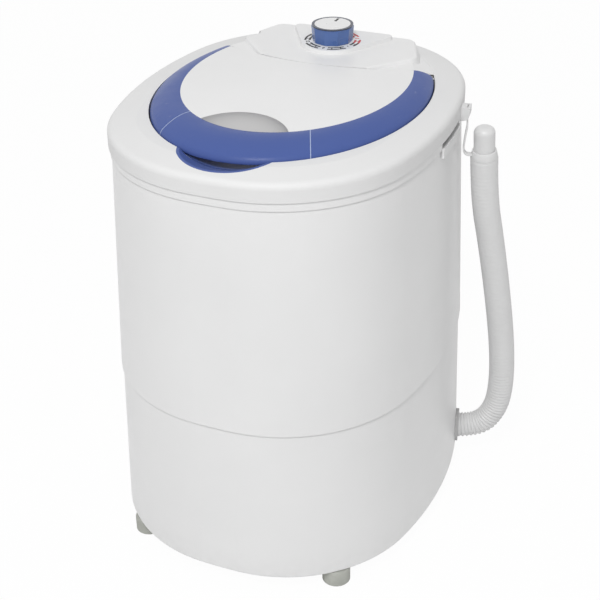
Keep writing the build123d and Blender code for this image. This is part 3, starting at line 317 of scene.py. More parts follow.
def moulded_plastic(name, colour, roughness, coat=0.0, wave=0.00006, grain=0.000004, specular=0.5):
    """Injection moulded plastic: a slow ripple from the mould, a fine grain and a slightly uneven gloss."""
    material, nodes, links, shader = plain_material(name)
    mottle_scale, gloss_scale, ripple_scale, grain_scale = 7.0, 60.0, 16.0, 1600.0
    place = nodes.new("ShaderNodeTexCoord").outputs["Object"]
    mottle = spread(nodes, links, noise_from(nodes, links, place, mottle_scale), 0.0, 1.0)
    links.new(two_tone(nodes, links, mottle, shade_of(colour, 0.965), colour), shader.inputs["Base Color"])
    gloss = noise_from(nodes, links, place, gloss_scale, 5.0)
    links.new(spread(nodes, links, gloss, roughness - 0.04, roughness + 0.05), shader.inputs["Roughness"])
    ripple = bump_from(nodes, links, noise_from(nodes, links, place, ripple_scale, 1.0), wave)
    fine = bump_from(nodes, links, noise_from(nodes, links, place, grain_scale, 2.0), grain, ripple)
    links.new(fine, shader.inputs["Normal"])
    shader.inputs["Specular IOR Level"].default_value = specular
    shader.inputs["Coat Weight"].default_value = coat
    shader.inputs["Coat Roughness"].default_value = 0.12
    return material


def recolour(material, share, colour):
    """Lays another colour over a finish where share is 1."""
    nodes = material.node_tree.nodes
    links = material.node_tree.links
    base = nodes["Principled BSDF"].inputs["Base Color"]
    mix = nodes.new("ShaderNodeMix")
    mix.data_type = "RGBA"
    mix.inputs["B"].default_value = (*colour, 1.0)
    links.new(base.links[0].from_socket, mix.inputs["A"])
    links.new(share, mix.inputs["Factor"])
    links.new(mix.outputs["Result"], base)


def dished_plastic(name, colour, dish_shade_colour, roughness):
    """The lid's plastic, matt in the recess behind the handle bar, where it is also painted a darker grey as
    painted shade.
    """
    dish_edge, dish_roughness = 1.008, 0.75
    material = moulded_plastic(name, colour, roughness)
    nodes = material.node_tree.nodes
    links = material.node_tree.links
    shader = nodes["Principled BSDF"]
    reach = nodes.new("ShaderNodeTexCoord").outputs["Object"]
    for operation, value in (("SUBTRACT", DISH_CENTRE), ("DIVIDE", DISH_RADII)):
        step = nodes.new("ShaderNodeVectorMath")
        step.operation = operation
        step.inputs[1].default_value = value
        links.new(reach, step.inputs[0])
        reach = step.outputs["Vector"]
    span = nodes.new("ShaderNodeVectorMath")
    span.operation = "LENGTH"
    links.new(reach, span.inputs[0])
    inside = nodes.new("ShaderNodeMath")
    inside.operation = "LESS_THAN"
    inside.inputs[1].default_value = dish_edge
    links.new(span.outputs["Value"], inside.inputs[0])
    # Painted shade: the recess gets a darker grey colour as well as its matt gloss
    recolour(material, inside.outputs["Value"], dish_shade_colour)
    matt = nodes.new("ShaderNodeMix")
    matt.inputs["B"].default_value = dish_roughness
    links.new(shader.inputs["Roughness"].links[0].from_socket, matt.inputs["A"])
    links.new(inside.outputs["Value"], matt.inputs["Factor"])
    links.new(matt.outputs["Result"], shader.inputs["Roughness"])
    return material


def rimmed_plastic(name, colour, rim_colour, rim_height):
    """The knob's plastic, with a darker edge round its top."""
    material = moulded_plastic(name, colour, 0.28, 0.2)
    nodes = material.node_tree.nodes
    links = material.node_tree.links
    split = nodes.new("ShaderNodeSeparateXYZ")
    links.new(nodes.new("ShaderNodeTexCoord").outputs["Object"], split.inputs["Vector"])
    above = nodes.new("ShaderNodeMath")
    above.operation = "GREATER_THAN"
    above.inputs[1].default_value = rim_height
    links.new(split.outputs["Z"], above.inputs[0])
    recolour(material, above.outputs["Value"], rim_colour)
    return material


def floor_scuffed_plastic(name, colour, roughness):
    """The base's plastic, a little darker grey in patches towards the bottom."""
    dark_low, dark_high, dark_share, dark_patch_scale = 0.020, 0.053, 0.12, 90.0
    material = moulded_plastic(name, colour, roughness)
    nodes = material.node_tree.nodes
    links = material.node_tree.links
    place = nodes.new("ShaderNodeTexCoord").outputs["Object"]
    split = nodes.new("ShaderNodeSeparateXYZ")
    links.new(place, split.inputs["Vector"])
    height = nodes.new("ShaderNodeMapRange")
    height.inputs["From Min"].default_value = dark_low
    height.inputs["From Max"].default_value = dark_high
    height.inputs["To Min"].default_value = dark_share
    height.inputs["To Max"].default_value = 0.0
    links.new(split.outputs["Z"], height.inputs["Value"])
    marks = nodes.new("ShaderNodeMath")
    marks.operation = "MULTIPLY"
    links.new(height.outputs["Result"], marks.inputs[0])
    dark_patches = noise_from(nodes, links, place, dark_patch_scale, 6.0)
    links.new(spread(nodes, links, dark_patches, 0.0, 1.0), marks.inputs[1])
    # Darker grey in patches, strongest at the bottom of the base and fading out higher up
    recolour(material, marks.outputs["Value"], shade_of(colour, 0.62))
    return material


def soft_rubber(name, colour):
    """Matt rubber with a dusty bloom and a pebbled surface."""
    material, nodes, links, shader = plain_material(name)
    bloom_scale, pebble_scale, pebble_depth = 45.0, 900.0, 0.00006
    place = nodes.new("ShaderNodeTexCoord").outputs["Object"]
    bloom = spread(nodes, links, noise_from(nodes, links, place, bloom_scale, 6.0), 0.0, 1.0)
    links.new(two_tone(nodes, links, bloom, shade_of(colour, 0.8), colour), shader.inputs["Base Color"])
    pebble = bump_from(nodes, links, noise_from(nodes, links, place, pebble_scale, 3.0), pebble_depth)
    links.new(pebble, shader.inputs["Normal"])
    shader.inputs["Roughness"].default_value = 0.78
    return material


def turned_steel(name, colour, roughness):
    """Steel with fine marks round its axis from the lathe."""
    material, nodes, links, shader = plain_material(name)
    mark_scale, mark_depth = (30.0, 30.0, 2600.0), 0.000008
    place = nodes.new("ShaderNodeTexCoord").outputs["Object"]
    stretch = nodes.new("ShaderNodeMapping")
    stretch.inputs["Scale"].default_value = mark_scale
    links.new(place, stretch.inputs["Vector"])
    lines = noise_from(nodes, links, stretch.outputs["Vector"], 1.0, 4.0)
    links.new(spread(nodes, links, lines, roughness - 0.06, roughness + 0.1), shader.inputs["Roughness"])
    tone = two_tone(nodes, links, lines, shade_of(colour, 0.82), colour)
    links.new(tone, shader.inputs["Base Color"])
    links.new(bump_from(nodes, links, lines, mark_depth), shader.inputs["Normal"])
    shader.inputs["Metallic"].default_value = 1.0
    return material


def cast_metal(name, colour, roughness, metallic):
    """Sand cast or painted metal with a slightly rough skin."""
    material, nodes, links, shader = plain_material(name)
    skin_scale, skin_depth, stain_scale = 420.0, 0.00008, 30.0
    place = nodes.new("ShaderNodeTexCoord").outputs["Object"]
    skin = noise_from(nodes, links, place, skin_scale, 5.0)
    stain = spread(nodes, links, noise_from(nodes, links, place, stain_scale, 4.0), 0.0, 1.0)
    links.new(two_tone(nodes, links, stain, shade_of(colour, 0.8), colour), shader.inputs["Base Color"])
    links.new(spread(nodes, links, skin, roughness - 0.05, roughness + 0.1), shader.inputs["Roughness"])
    links.new(bump_from(nodes, links, skin, skin_depth), shader.inputs["Normal"])
    shader.inputs["Metallic"].default_value = metallic
    return material


def printed_ink(name, colour):
    """Pad printed ink: matt, with thin spots."""
    material, nodes, links, shader = plain_material(name)
    spot_scale = 700.0
    place = nodes.new("ShaderNodeTexCoord").outputs["Object"]
    cover = spread(nodes, links, noise_from(nodes, links, place, spot_scale, 4.0), 0.0, 1.0)
    links.new(two_tone(nodes, links, cover, colour, shade_of(colour, 1.35)), shader.inputs["Base Color"])
    shader.inputs["Roughness"].default_value = 0.5
    return material


def finish_nodes(material, *names):
    """Gives CAD nodes a finish."""
    for name in names:
        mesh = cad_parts[name].data
        if len(mesh.materials) == 0:
            mesh.materials.append(material)
        for index in range(len(mesh.materials)):
            mesh.materials[index] = material


def add_piece(name, shape, material, body):
    """Turns a bmesh into a piece that rides on a body."""
    mesh = bpy.data.meshes.new(name)
    shape.to_mesh(mesh)
    shape.free()
    mesh.materials.append(material)
    mesh.polygons.foreach_set("use_smooth", [True] * len(mesh.polygons))
    piece = bpy.data.objects.new(name, mesh)
    bpy.context.scene.collection.objects.link(piece)
    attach(piece, body)
    return piece


def spline_line(route, steps):
    """Points along the smooth line of a route."""
    curve = bpy.data.curves.new("route_line", "CURVE")
    curve.dimensions = "3D"
    curve.resolution_u = steps
    spline = curve.splines.new("NURBS")
    spline.points.add(len(route) - 1)
    for point, place in zip(spline.points, route):
        point.co = (*place, 1.0)
    spline.order_u = 3
    spline.use_endpoint_u = True
    line = bpy.data.objects.new("route_line", curve)
    bpy.context.scene.collection.objects.link(line)
    bpy.context.view_layer.update()
    mesh = bpy.data.meshes.new_from_object(line)
    points = [vertex.co.copy() for vertex in mesh.vertices]
    bpy.data.objects.remove(line)
    bpy.data.curves.remove(curve)
    bpy.data.meshes.remove(mesh)
    return points


class Walk:
    """Places and directions at distances along a line of points."""

    def __init__(self, points):
        self.points = points
        self.marks = [0.0]
        for before, after in zip(points, points[1:]):
            self.marks.append(self.marks[-1] + (after - before).length)
        self.length = self.marks[-1]

    def at(self, distance):
        """Place at a distance from the start."""
        index = 0
        while index < len(self.marks) - 2 and self.marks[index + 1] < distance:
            index += 1
        start, end = self.points[index], self.points[index + 1]
        share = (distance - self.marks[index]) / (self.marks[index + 1] - self.marks[index])
        return start.lerp(end, share)

    def square(self, distance, side):
        """Matrix of a section square to the line, with its Y axis near side."""
        step = 0.002
        ahead = self.at(min(distance + step, self.length)) - self.at(max(distance - step, 0.0))
        forward = ahead.normalized()
        across = side.cross(forward).normalized()
        upward = forward.cross(across)
        turn = Matrix((across, upward, forward)).transposed().to_4x4()
        return Matrix.Translation(self.at(distance)) @ turn


def extrude_run(shape, edges):
    """Extrudes a run of edges in place, and gives the new corners and the new run."""
    made = bmesh.ops.extrude_edge_only(shape, edges=edges)["geom"]
    corners = [item for item in made if isinstance(item, bmesh.types.BMVert)]
    fresh = set(corners)
    run = [item for item in made if isinstance(item, bmesh.types.BMEdge) and fresh.issuperset(item.verts)]
    return corners, run


def extrude_sections(shape, edges, matrices):
    """Carries a run of edges through a list of section matrices, the first of which it already has."""
    for before, after in zip(matrices, matrices[1:]):
        corners, edges = extrude_run(shape, edges)
        bmesh.ops.transform(shape, matrix=after @ before.inverted(), verts=corners)


def oval_gap(point, oval):
    """Distance of a point outside an oval, on the line from its middle, and less than 0 inside it."""
    half_x, half_y, middle = oval
    reach = math.hypot(point.x, point.y - middle)
    return reach - reach / math.hypot(point.x / half_x, (point.y - middle) / half_y)


def band_crown(point, top):
    """How far the band bulges over its flat slope at a point of its upper skin."""
    inner = max(oval_gap(point, BAND_INNER), 0.0)
    outer = max(-oval_gap(point, BAND_OUTER), 0.0)
    width = inner + outer
    skin_depth = 0.0035
    if width == 0 or point.z < top - BAND_FALL * inner / width - skin_depth:
        return 0.0
    return 4 * BAND_BULGE * inner * outer / width


def crowned_band(node):
    """A copy of a piece of the blue band, cut into a fine grid and bulged across its upper skin."""
    shape = bmesh.new()
    shape.from_mesh(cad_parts[node].data)
    bmesh.ops.remove_doubles(shape, verts=shape.verts[:], dist=MERGE)
    low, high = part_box(node)
    cell = 0.004
    for axis in (Vector((1, 0, 0)), Vector((0, 1, 0))):
        start, end = low.dot(axis), high.dot(axis)
        count = int((end - start) / cell)
        for index in range(1, count):
            whole = shape.verts[:] + shape.edges[:] + shape.faces[:]
            place = axis * (start + (end - start) * index / count)
            bmesh.ops.bisect_plane(shape, geom=whole, plane_co=place, plane_no=axis, dist=MERGE)
    shape.normal_update()
    for corner in shape.verts:
        facing = max(face.normal.z for face in corner.link_faces)
        corner.co.z += max(facing, 0.0) ** 2 * band_crown(corner.co, high.z)
    return shape


def top_strip(mesh, sides, lift):
    """The upper skin of a mesh between cutting planes, raised a little."""
    shape = bmesh.new()
    shape.from_mesh(mesh)
    for place, facing in sides:
        whole = shape.verts[:] + shape.edges[:] + shape.faces[:]
        bmesh.ops.bisect_plane(shape, geom=whole, plane_co=place, plane_no=facing, clear_outer=True)
    least_facing = 0.05
    hidden = [face for face in shape.faces if face.normal.z < least_facing]
    bmesh.ops.delete(shape, geom=hidden, context="FACES")
    bmesh.ops.remove_doubles(shape, verts=shape.verts[:], dist=2 * MERGE)
    if not shape.faces:
        raise RuntimeError(f"{mesh.name} has no skin between the planes")
    shape.normal_update()
    for corner in shape.verts:
        corner.co += corner.normal * lift
    return shape


def add_modifier(piece, kind, **settings):
    """Adds a modifier with the settings given."""
    modifier = piece.modifiers.new(kind.lower(), kind)
    for key, value in settings.items():
        setattr(modifier, key, value)


class WASHER_OT_shell(bpy.types.Operator):
    """White outer mouldings: base, cabinet, cover, console and lid"""

    bl_idname = "washer.shell"
    bl_label = "Finish the shell"

    def execute(self, context):
        colours = context.scene.washer_colours
        finish_nodes(floor_scuffed_plastic("base_white", colours.shell, 0.36), "base")
        white = moulded_plastic("shell_white", colours.shell, 0.36)
        finish_nodes(white, "cabinet", "control_panel", "tub_flange", "hand_grip_left", "hand_grip_right")
        # Painted shade: the cover is the shell's plastic set 4% darker, because the lamps light its shoulder
        # more strongly
        cover = moulded_plastic("cover_shaded_white", shade_of(colours.shell, 0.96), 0.55, specular=0.35)
        finish_nodes(cover, "top_cover")
        finish_nodes(dished_plastic("lid_white", colours.shell, colours.dish, 0.36), "lid_panel")
        return {"FINISHED"}


class WASHER_OT_trims(bpy.types.Operator):
    """Blue handle bar and trims with their bulge, the scoop and the knob"""

    bl_idname = "washer.trims"
    bl_label = "Finish the blue trims"

    def execute(self, context):
        colours = context.scene.washer_colours
        blue = moulded_plastic("trim_blue", colours.trim, 0.34, wave=0.00003, grain=0.000001, specular=0.12)
        finish_nodes(blue, "scoop_insert")
        sharp_edge = math.radians(35)
        bands = (("handle_bar", "lid_handle"), ("band_left", "trim_left"), ("band_right", "trim_right"))
        for name, node in bands:
            band = add_piece(name, crowned_band(node), blue, "lid")
            band.data.set_sharp_from_angle(angle=sharp_edge)
            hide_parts(node)
        finish_nodes(rimmed_plastic("knob_blue", colours.knob, colours.knob_rim, KNOB_RIM), "timer_knob")
        finish_nodes(moulded_plastic("cap_white", colours.shell, 0.30, 0.2), "knob_cap")
        return {"FINISHED"}


class WASHER_OT_handle_seams(bpy.types.Operator):
    """Pale seam at each end of the handle bar"""

    bl_idname = "washer.handle_seams"
    bl_label = "Mark the handle seams"

    def execute(self, context):
        material = moulded_plastic("seam_pale", context.scene.washer_colours.seam, 0.5)
        bar = bpy.data.objects["handle_bar"].data
        width, lift = 0.0009, 0.00012
        for name, side in (("handle_seam_left", -1), ("handle_seam_right", 1)):
            mirror = Vector((side, 1, 1))
            point, out = SEAM_POINT * mirror, SEAM_OUT * mirror
            shape = top_strip(bar, ((point, out), (point - out * width, -out)), lift)
            seam = add_piece(name, shape, material, "lid")
            add_modifier(seam, "SOLIDIFY", thickness=lift, offset=-1.0)
        return {"FINISHED"}


class WASHER_OT_wash_space(bpy.types.Operator):
    """Tub, overflow cover, pulsator and inlet"""

    bl_idname = "washer.wash_space"
    bl_label = "Finish the wash space"

    def execute(self, context):
        tub = moulded_plastic("tub_white", context.scene.washer_colours.tub, 0.42)
        finish_nodes(tub, "wash_tub", "tub_pan", "overflow_cover", "pulsator", "water_inlet")
        return {"FINISHED"}


class WASHER_OT_drive(bpy.types.Operator):
    """Shafts, pulleys, belt, motor and other working pieces, the feet and the fittings"""

    bl_idname = "washer.drive"
    bl_label = "Finish the drive"

    def execute(self, context):
        colours = context.scene.washer_colours
        steel = turned_steel("steel", STEEL, 0.28)
        finish_nodes(steel, "pulsator_shaft", "pulsator_screw", "pulley_nut", "motor_shaft", "timer_shaft")
        finish_nodes(steel, "hinge_pin_left", "hinge_pin_right", "capacitor_clip")
        alloy = cast_metal("cast_alloy", ALLOY, 0.42, 1.0)
        finish_nodes(alloy, "motor_end_bell", "run_capacitor")
        finish_nodes(alloy, "driven_pulley", "motor_pulley", "bearing_housing")
        finish_nodes(cast_metal("motor_paint", MOTOR_PAINT, 0.45, 0.0), "motor_can", "motor_plate")
        finish_nodes(cast_metal("bush_bronze", BRONZE, 0.40, 1.0), "lower_bush", "upper_bush")
        black = soft_rubber("rubber_black", BLACK_RUBBER)
        finish_nodes(black, "drive_belt", "shaft_seal", "cord_gland")
        for side in ("left", "right"):
            finish_nodes(black, f"motor_mount_front_{side}", f"motor_mount_rear_{side}")
        finish_nodes(moulded_plastic("timer_grey", TIMER_PLASTIC, 0.5), "wash_timer")
        feet = soft_rubber("foot_grey", colours.foot)
        for side in ("left", "right"):
            finish_nodes(feet, f"foot_front_{side}", f"foot_rear_{side}")
        finish_nodes(soft_rubber("grommet_grey", GREY_RUBBER), "hose_grommet")
        fitting = moulded_plastic("fitting_white", colours.fitting, 0.40)
        finish_nodes(fitting, "hose_nozzle", "hose_hook", "drain_pipe")
        return {"FINISHED"}


class WASHER_OT_hose(bpy.types.Operator):
    """Ribbed drain hose with its strap"""

    bl_idname = "washer.hose"
    bl_label = "Make the drain hose"

    def groove(self, sizes, distance, length):
        """Depth of the groove at a distance along the hose, fading above the bend."""
        share = (distance - sizes.bend_length) / (sizes.ribbed_length - sizes.bend_length)
        fade = math.sqrt(min(max(share, 0.0), 1.0))
        depth = sizes.rib_depth * (1 - fade) + sizes.faint_depth * fade
        swing = 0.5 - 0.5 * math.cos(2 * math.pi * distance / sizes.rib_pitch)
        groove_fullness = 0.7
        ends = min(distance, length - distance) / sizes.radius
        return depth * swing ** groove_fullness * min(ends, 1.0)

    def execute(self, context):
        sizes = context.scene.washer_hose
        colours = context.scene.washer_colours
        walk = Walk(spline_line(HOSE_ROUTE, 40))
        rings_per_rib, sides = 6, 40
        rings = int(walk.length / sizes.rib_pitch) * rings_per_rib
        matrices = []
        for index in range(rings + 1):
            distance = walk.length * index / rings
            radius = sizes.radius - self.groove(sizes, distance, walk.length)
            matrices.append(walk.square(distance, Vector((0, 1, 0))) @ Matrix.Scale(radius, 4))
        shape = bmesh.new()
        bmesh.ops.create_circle(shape, cap_ends=False, segments=sides, radius=1.0, matrix=matrices[0])
        extrude_sections(shape, shape.edges[:], matrices)
        bmesh.ops.recalc_face_normals(shape, faces=shape.faces[:])
        material = moulded_plastic("hose_grey", colours.hose, 0.46, wave=0.00002)
        hose = add_piece("hose", shape, material, "housing")
        add_modifier(hose, "SOLIDIFY", thickness=sizes.wall, offset=-1.0)
        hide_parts("drain_hose")
        strap = self.strap(sizes, moulded_plastic("strap_white", colours.fitting, 0.40))
        return {"FINISHED"}

    def strap_route(self, middle, neck):
        """Points of the strap from its hook down to the ring, whose middle is given."""
        out = Vector((middle.x - STRAP_HANG.x, middle.y - STRAP_HANG.y, 0.0)).normalized()
        reach = (Vector((middle.x, middle.y, 0)) - STRAP_HANG).length - neck
        sag, seat = 0.0008, 0.0004
        bend = ((middle.z + 0.004, -0.0012), (middle.z, 0.0010))
        across = ((middle.z - sag, reach * 0.5), (middle.z, reach - seat))
        points = (*zip(STRAP_HEIGHTS, STRAP_LEANS), *bend, *across)
        return out, [STRAP_HANG + out * lean + Vector((0, 0, height)) for height, lean in points]

    def strap(self, sizes, material):
        """Thin strip that hangs from the hook, with a ring round the neck of the nozzle."""
        neck, wall, flare = 0.0116, 0.0016, 0.0016
        ring_low, ring_high = 0.002, 0.011
        middle = NOZZLE_FOOT + NOZZLE_UP * (ring_low + ring_high) / 2
        out, route = self.strap_route(middle, neck)
        walk = Walk(spline_line(route, 12))
        side = Vector((0, 0, 1)).cross(out)
        count = 36
        matrices = [walk.square(walk.length * index / count, side) for index in range(count + 1)]
        shape = bmesh.new()
        half = sizes.strap_width / 2
        ends = [shape.verts.new(matrices[0] @ Vector((0, y, 0))) for y in (-half, half)]
        extrude_sections(shape, [shape.edges.new(ends)], matrices)
        bmesh.ops.solidify(shape, geom=shape.faces[:], thickness=sizes.strap_thickness)
        turn = NOZZLE_UP.to_track_quat("Z", "Y").to_matrix().to_4x4()
        seat = Matrix.Translation(NOZZLE_FOOT) @ turn
        foot = neck + wall + flare
        corners = ((neck, ring_low), (foot, ring_low), (neck + wall, ring_high), (neck, ring_high))
        rim = [shape.verts.new(seat @ Vector((radius, 0, rise))) for radius, rise in corners]
        edges = [shape.edges.new((rim[index - 1], rim[index])) for index in range(len(rim))]
        bmesh.ops.spin(
            shape, geom=rim + edges, cent=NOZZLE_FOOT, axis=NOZZLE_UP, angle=2 * math.pi, steps=48,
            use_merge=True,
        )
        bmesh.ops.remove_doubles(shape, verts=shape.verts[:], dist=MERGE)
        bmesh.ops.recalc_face_normals(shape, faces=shape.faces[:])
        strap = add_piece("strap", shape, material, "housing")
        add_modifier(strap, "BEVEL", width=0.0004, segments=2, limit_method="ANGLE")
        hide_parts("hose_strap")
        return strap


class WASHER_OT_dial(bpy.types.Operator):
    """Printed lines and numbers round the dial, and the pointer in the knob's cap"""

    bl_idname = "washer.dial"
    bl_label = "Print the dial"

    def spot(self, radius, angle):
        """Place of the print at a radius and an angle, clockwise from the rear."""
        x = DIAL_CENTRE.x + radius * math.sin(angle)
        y = DIAL_CENTRE.y + radius * math.cos(angle)
        return Vector((x, y, BOSS_TOP + INK_DEPTH))

    def arc(self, shape, radius, width, start, turn):
        """A flat printed stretch of ring, clockwise from the rear."""
        ends = [shape.verts.new(self.spot(radius + reach, start)) for reach in (-width / 2, width / 2)]
        line = ends + [shape.edges.new(ends)]
        steps = max(2, int(turn / math.radians(4)))
        bmesh.ops.spin(shape, geom=line, cent=self.spot(0, 0), axis=(0, 0, -1), angle=turn, steps=steps)

    def figure(self, shape, words, size, radius, angle):
        """A printed number that faces outwards from the knob."""
        boldness = 0.04
        curve = bpy.data.curves.new("figure", "FONT")
        curve.body = words
        curve.size = size
        curve.offset = size * boldness
        curve.align_x = "CENTER"
        curve.align_y = "CENTER"
        sign = bpy.data.objects.new("figure", curve)
        bpy.context.scene.collection.objects.link(sign)
        bpy.context.view_layer.update()
        mesh = bpy.data.meshes.new_from_object(sign)
        place = Matrix.Translation(self.spot(radius, angle)) @ Matrix.Rotation(math.pi - angle, 4, "Z")
        mesh.transform(place)
        shape.from_mesh(mesh)
        bpy.data.objects.remove(sign)
        bpy.data.curves.remove(curve)
        bpy.data.meshes.remove(mesh)

    def printed(self, name, shape, material):
        """Turns a flat print into a thin piece that faces up."""
        bmesh.ops.remove_doubles(shape, verts=shape.verts[:], dist=MERGE / 5)
        for face in shape.faces:
            if face.normal.z < 0:
                face.normal_flip()
        piece = add_piece(name, shape, material, "housing")
        add_modifier(piece, "SOLIDIFY", thickness=INK_DEPTH, offset=-1.0)

    def execute(self, context):
        sizes = context.scene.washer_dial
        colours = context.scene.washer_colours
        middle = (sizes.inner + sizes.outer) / 2
        step = sizes.turn / sizes.minutes
        red_turn, tick_turn, slack = math.radians(90), 0.04, 0.01
        figure_every = 3
        for name, colour, start, end in (
            ("dial_print", colours.ink, red_turn, sizes.turn),
            ("dial_print_red", colours.ink_red, 0.0, red_turn),
        ):
            shape = bmesh.new()
            for minute in range(sizes.minutes + 1):
                angle = sizes.turn * minute / sizes.minutes
                if not start <= angle < end + slack:
                    continue
                if minute % figure_every == 0:
                    self.figure(shape, str(minute), sizes.figure, middle, angle)
                    continue
                self.arc(shape, middle, sizes.line * 2, angle - tick_turn / 2, tick_turn)
                for radius in (sizes.inner, sizes.outer):
                    self.arc(shape, radius, sizes.line, angle - step / 2, step)
            self.printed(name, shape, printed_ink(name, colour))
        self.pointer(sizes, printed_ink("pointer_ink", colours.ink))
        return {"FINISHED"}

    def pointer(self, sizes, material):
        """A dark line on the cap that points to the rear."""
        across, rearward = Vector((1, 0, 0)), Vector((0, 1, 0))
        inner = DIAL_CENTRE + rearward * sizes.pointer_start
        outer = DIAL_CENTRE + rearward * sizes.pointer_end
        half = across * sizes.pointer_width / 2
        sides = ((inner, -rearward), (outer, rearward), (inner - half, -across), (inner + half, across))
        shape = top_strip(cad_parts["knob_cap"].data, sides, INK_DEPTH)
        piece = add_piece("knob_pointer", shape, material, "dial")
        add_modifier(piece, "SOLIDIFY", thickness=INK_DEPTH, offset=-1.0)


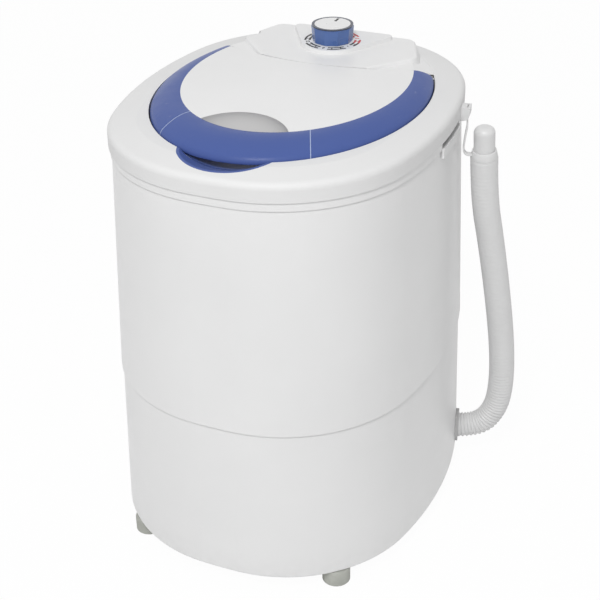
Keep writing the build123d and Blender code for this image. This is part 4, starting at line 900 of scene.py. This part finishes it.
class WASHER_OT_studio(bpy.types.Operator):
    """Pale floor, backdrop, lamps and camera"""

    bl_idname = "washer.studio"
    bl_label = "Set the studio"

    def sweep(self, material):
        """Floor that curves up into a backdrop behind the machine."""
        shape = bmesh.new()
        front, rear, half, cove, top = -4.0, 2.2, 5.0, 0.8, 4.0
        gap_under_feet = 0.0002
        ends = [shape.verts.new((x, front, -gap_under_feet)) for x in (-half, half)]
        corners, edges = extrude_run(shape, [shape.edges.new(ends)])
        bmesh.ops.translate(shape, vec=(0, rear - front, 0), verts=corners)
        made = bmesh.ops.spin(
            shape, geom=corners + edges, cent=(0, rear, cove), axis=(1, 0, 0), angle=math.pi / 2, steps=12,
        )["geom_last"]
        edges = [item for item in made if isinstance(item, bmesh.types.BMEdge)]
        corners = extrude_run(shape, edges)[0]
        bmesh.ops.translate(shape, vec=(0, 0, top), verts=corners)
        bmesh.ops.recalc_face_normals(shape, faces=shape.faces[:])
        mesh = bpy.data.meshes.new("studio_floor")
        shape.to_mesh(mesh)
        shape.free()
        mesh.materials.append(material)
        mesh.polygons.foreach_set("use_smooth", [True] * len(mesh.polygons))
        floor = bpy.data.objects.new("studio_floor", mesh)
        bpy.context.scene.collection.objects.link(floor)

    def seen_rays(self, nodes, links):
        """Value that is 1 for rays that show the background itself."""
        path = nodes.new("ShaderNodeLightPath")
        total = path.outputs["Is Camera Ray"]
        for name in ("Is Glossy Ray", "Is Transmission Ray"):
            both = nodes.new("ShaderNodeMath")
            both.operation = "MAXIMUM"
            links.new(total, both.inputs[0])
            links.new(path.outputs[name], both.inputs[1])
            total = both.outputs["Value"]
        return total

    def floor_material(self):
        """White paper that keeps a soft part of the shadow."""
        paper_white = 0.97
        material, nodes, links, shader = plain_material("studio_paper")
        shader.inputs["Base Color"].default_value = (0.86, 0.86, 0.86, 1.0)
        shader.inputs["Roughness"].default_value = 0.9
        shader.inputs["Specular IOR Level"].default_value = 0.0
        glow = nodes.new("ShaderNodeEmission")
        glow.inputs["Color"].default_value = (1.0, 1.0, 1.0, 1.0)
        glow.inputs["Strength"].default_value = 1.0
        share = nodes.new("ShaderNodeMath")
        share.operation = "MULTIPLY"
        share.inputs[1].default_value = paper_white
        links.new(self.seen_rays(nodes, links), share.inputs[0])
        mix = nodes.new("ShaderNodeMixShader")
        links.new(share.outputs["Value"], mix.inputs["Fac"])
        links.new(shader.outputs["BSDF"], mix.inputs[1])
        links.new(glow.outputs["Emission"], mix.inputs[2])
        links.new(mix.outputs["Shader"], nodes["Material Output"].inputs["Surface"])
        return material

    def sky(self, strength):
        """Even light from all round. Where the background itself is seen, it is white."""
        world = bpy.data.worlds.new("studio_sky")
        bpy.context.scene.world = world
        world.use_nodes = True
        nodes = world.node_tree.nodes
        links = world.node_tree.links
        level = nodes.new("ShaderNodeMapRange")
        level.inputs["To Min"].default_value = strength
        level.inputs["To Max"].default_value = 1.0
        links.new(self.seen_rays(nodes, links), level.inputs["Value"])
        links.new(level.outputs["Result"], nodes["Background"].inputs["Strength"])
        nodes["Background"].inputs["Color"].default_value = (1.0, 1.0, 1.0, 1.0)

    def lamp(self, name, place, target, size, power):
        """A round soft lamp that faces a target."""
        light = bpy.data.lights.new(name, "AREA")
        light.shape = "DISK"
        light.size = size
        light.energy = power
        lamp = bpy.data.objects.new(name, light)
        lamp.location = place
        lamp.rotation_euler = (Vector(target) - Vector(place)).to_track_quat("-Z", "Y").to_euler()
        bpy.context.scene.collection.objects.link(lamp)

    def camera(self, studio):
        """The camera, which looks down at the machine from its right front."""
        lens = bpy.data.cameras.new("camera")
        lens.sensor_width = 36.0
        lens.lens = studio.lens
        lens.shift_x, lens.shift_y = studio.shift
        camera = bpy.data.objects.new("camera", lens)
        turn = Matrix.Rotation(studio.azimuth, 4, "Z")
        tilt = Matrix.Rotation(math.pi / 2 - studio.pitch, 4, "X")
        roll = Matrix.Rotation(studio.roll, 4, "Z")
        camera.matrix_world = Matrix.Translation(studio.eye) @ turn @ tilt @ roll
        bpy.context.scene.collection.objects.link(camera)
        bpy.context.scene.camera = camera

    def execute(self, context):
        studio = context.scene.washer_studio
        context.scene.view_settings.view_transform = "Standard"
        self.sweep(self.floor_material())
        self.sky(studio.sky)
        key_place, key_target, key_size = (0.35, -1.9, 2.7), (0, 0, 0.3), 0.7
        top_place, top_target, top_size = (0.1, 0.2, 2.4), (0, 0, 0.5), 1.4
        self.lamp("key_lamp", key_place, key_target, key_size, studio.key)
        self.lamp("top_lamp", top_place, top_target, top_size, studio.top)
        self.camera(studio)
        return {"FINISHED"}


class WASHER_PT_pieces(bpy.types.Panel):
    """Lists the pieces and the studio"""

    bl_label = "Washing machine"
    bl_idname = "WASHER_PT_pieces"
    bl_space_type = "VIEW_3D"
    bl_region_type = "UI"
    bl_category = "Washer"

    def draw(self, context):
        for operator in OPERATORS:
            self.layout.operator(operator.bl_idname)


OPERATORS = (
    WASHER_OT_studio,
    WASHER_OT_shell,
    WASHER_OT_trims,
    WASHER_OT_handle_seams,
    WASHER_OT_wash_space,
    WASHER_OT_drive,
    WASHER_OT_hose,
    WASHER_OT_dial,
)
GROUPS = {
    "washer_colours": WasherColours,
    "washer_hose": WasherHose,
    "washer_dial": WasherDial,
    "washer_studio": WasherStudio,
}


def register():
    for group in GROUPS.values():
        bpy.utils.register_class(group)
    for name, group in GROUPS.items():
        setattr(bpy.types.Scene, name, bpy.props.PointerProperty(type=group))
    for operator in OPERATORS:
        bpy.utils.register_class(operator)
    bpy.utils.register_class(WASHER_PT_pieces)


def unregister():
    bpy.utils.unregister_class(WASHER_PT_pieces)
    for operator in reversed(OPERATORS):
        bpy.utils.unregister_class(operator)
    for name, group in GROUPS.items():
        delattr(bpy.types.Scene, name)
        bpy.utils.unregister_class(group)


def main():
    register()
    bpy.ops.washer.studio()
    bpy.ops.washer.shell()
    bpy.ops.washer.trims()
    bpy.ops.washer.handle_seams()
    bpy.ops.washer.wash_space()
    bpy.ops.washer.drive()
    bpy.ops.washer.hose()
    bpy.ops.washer.dial()


if __name__ == "__main__":
    main()
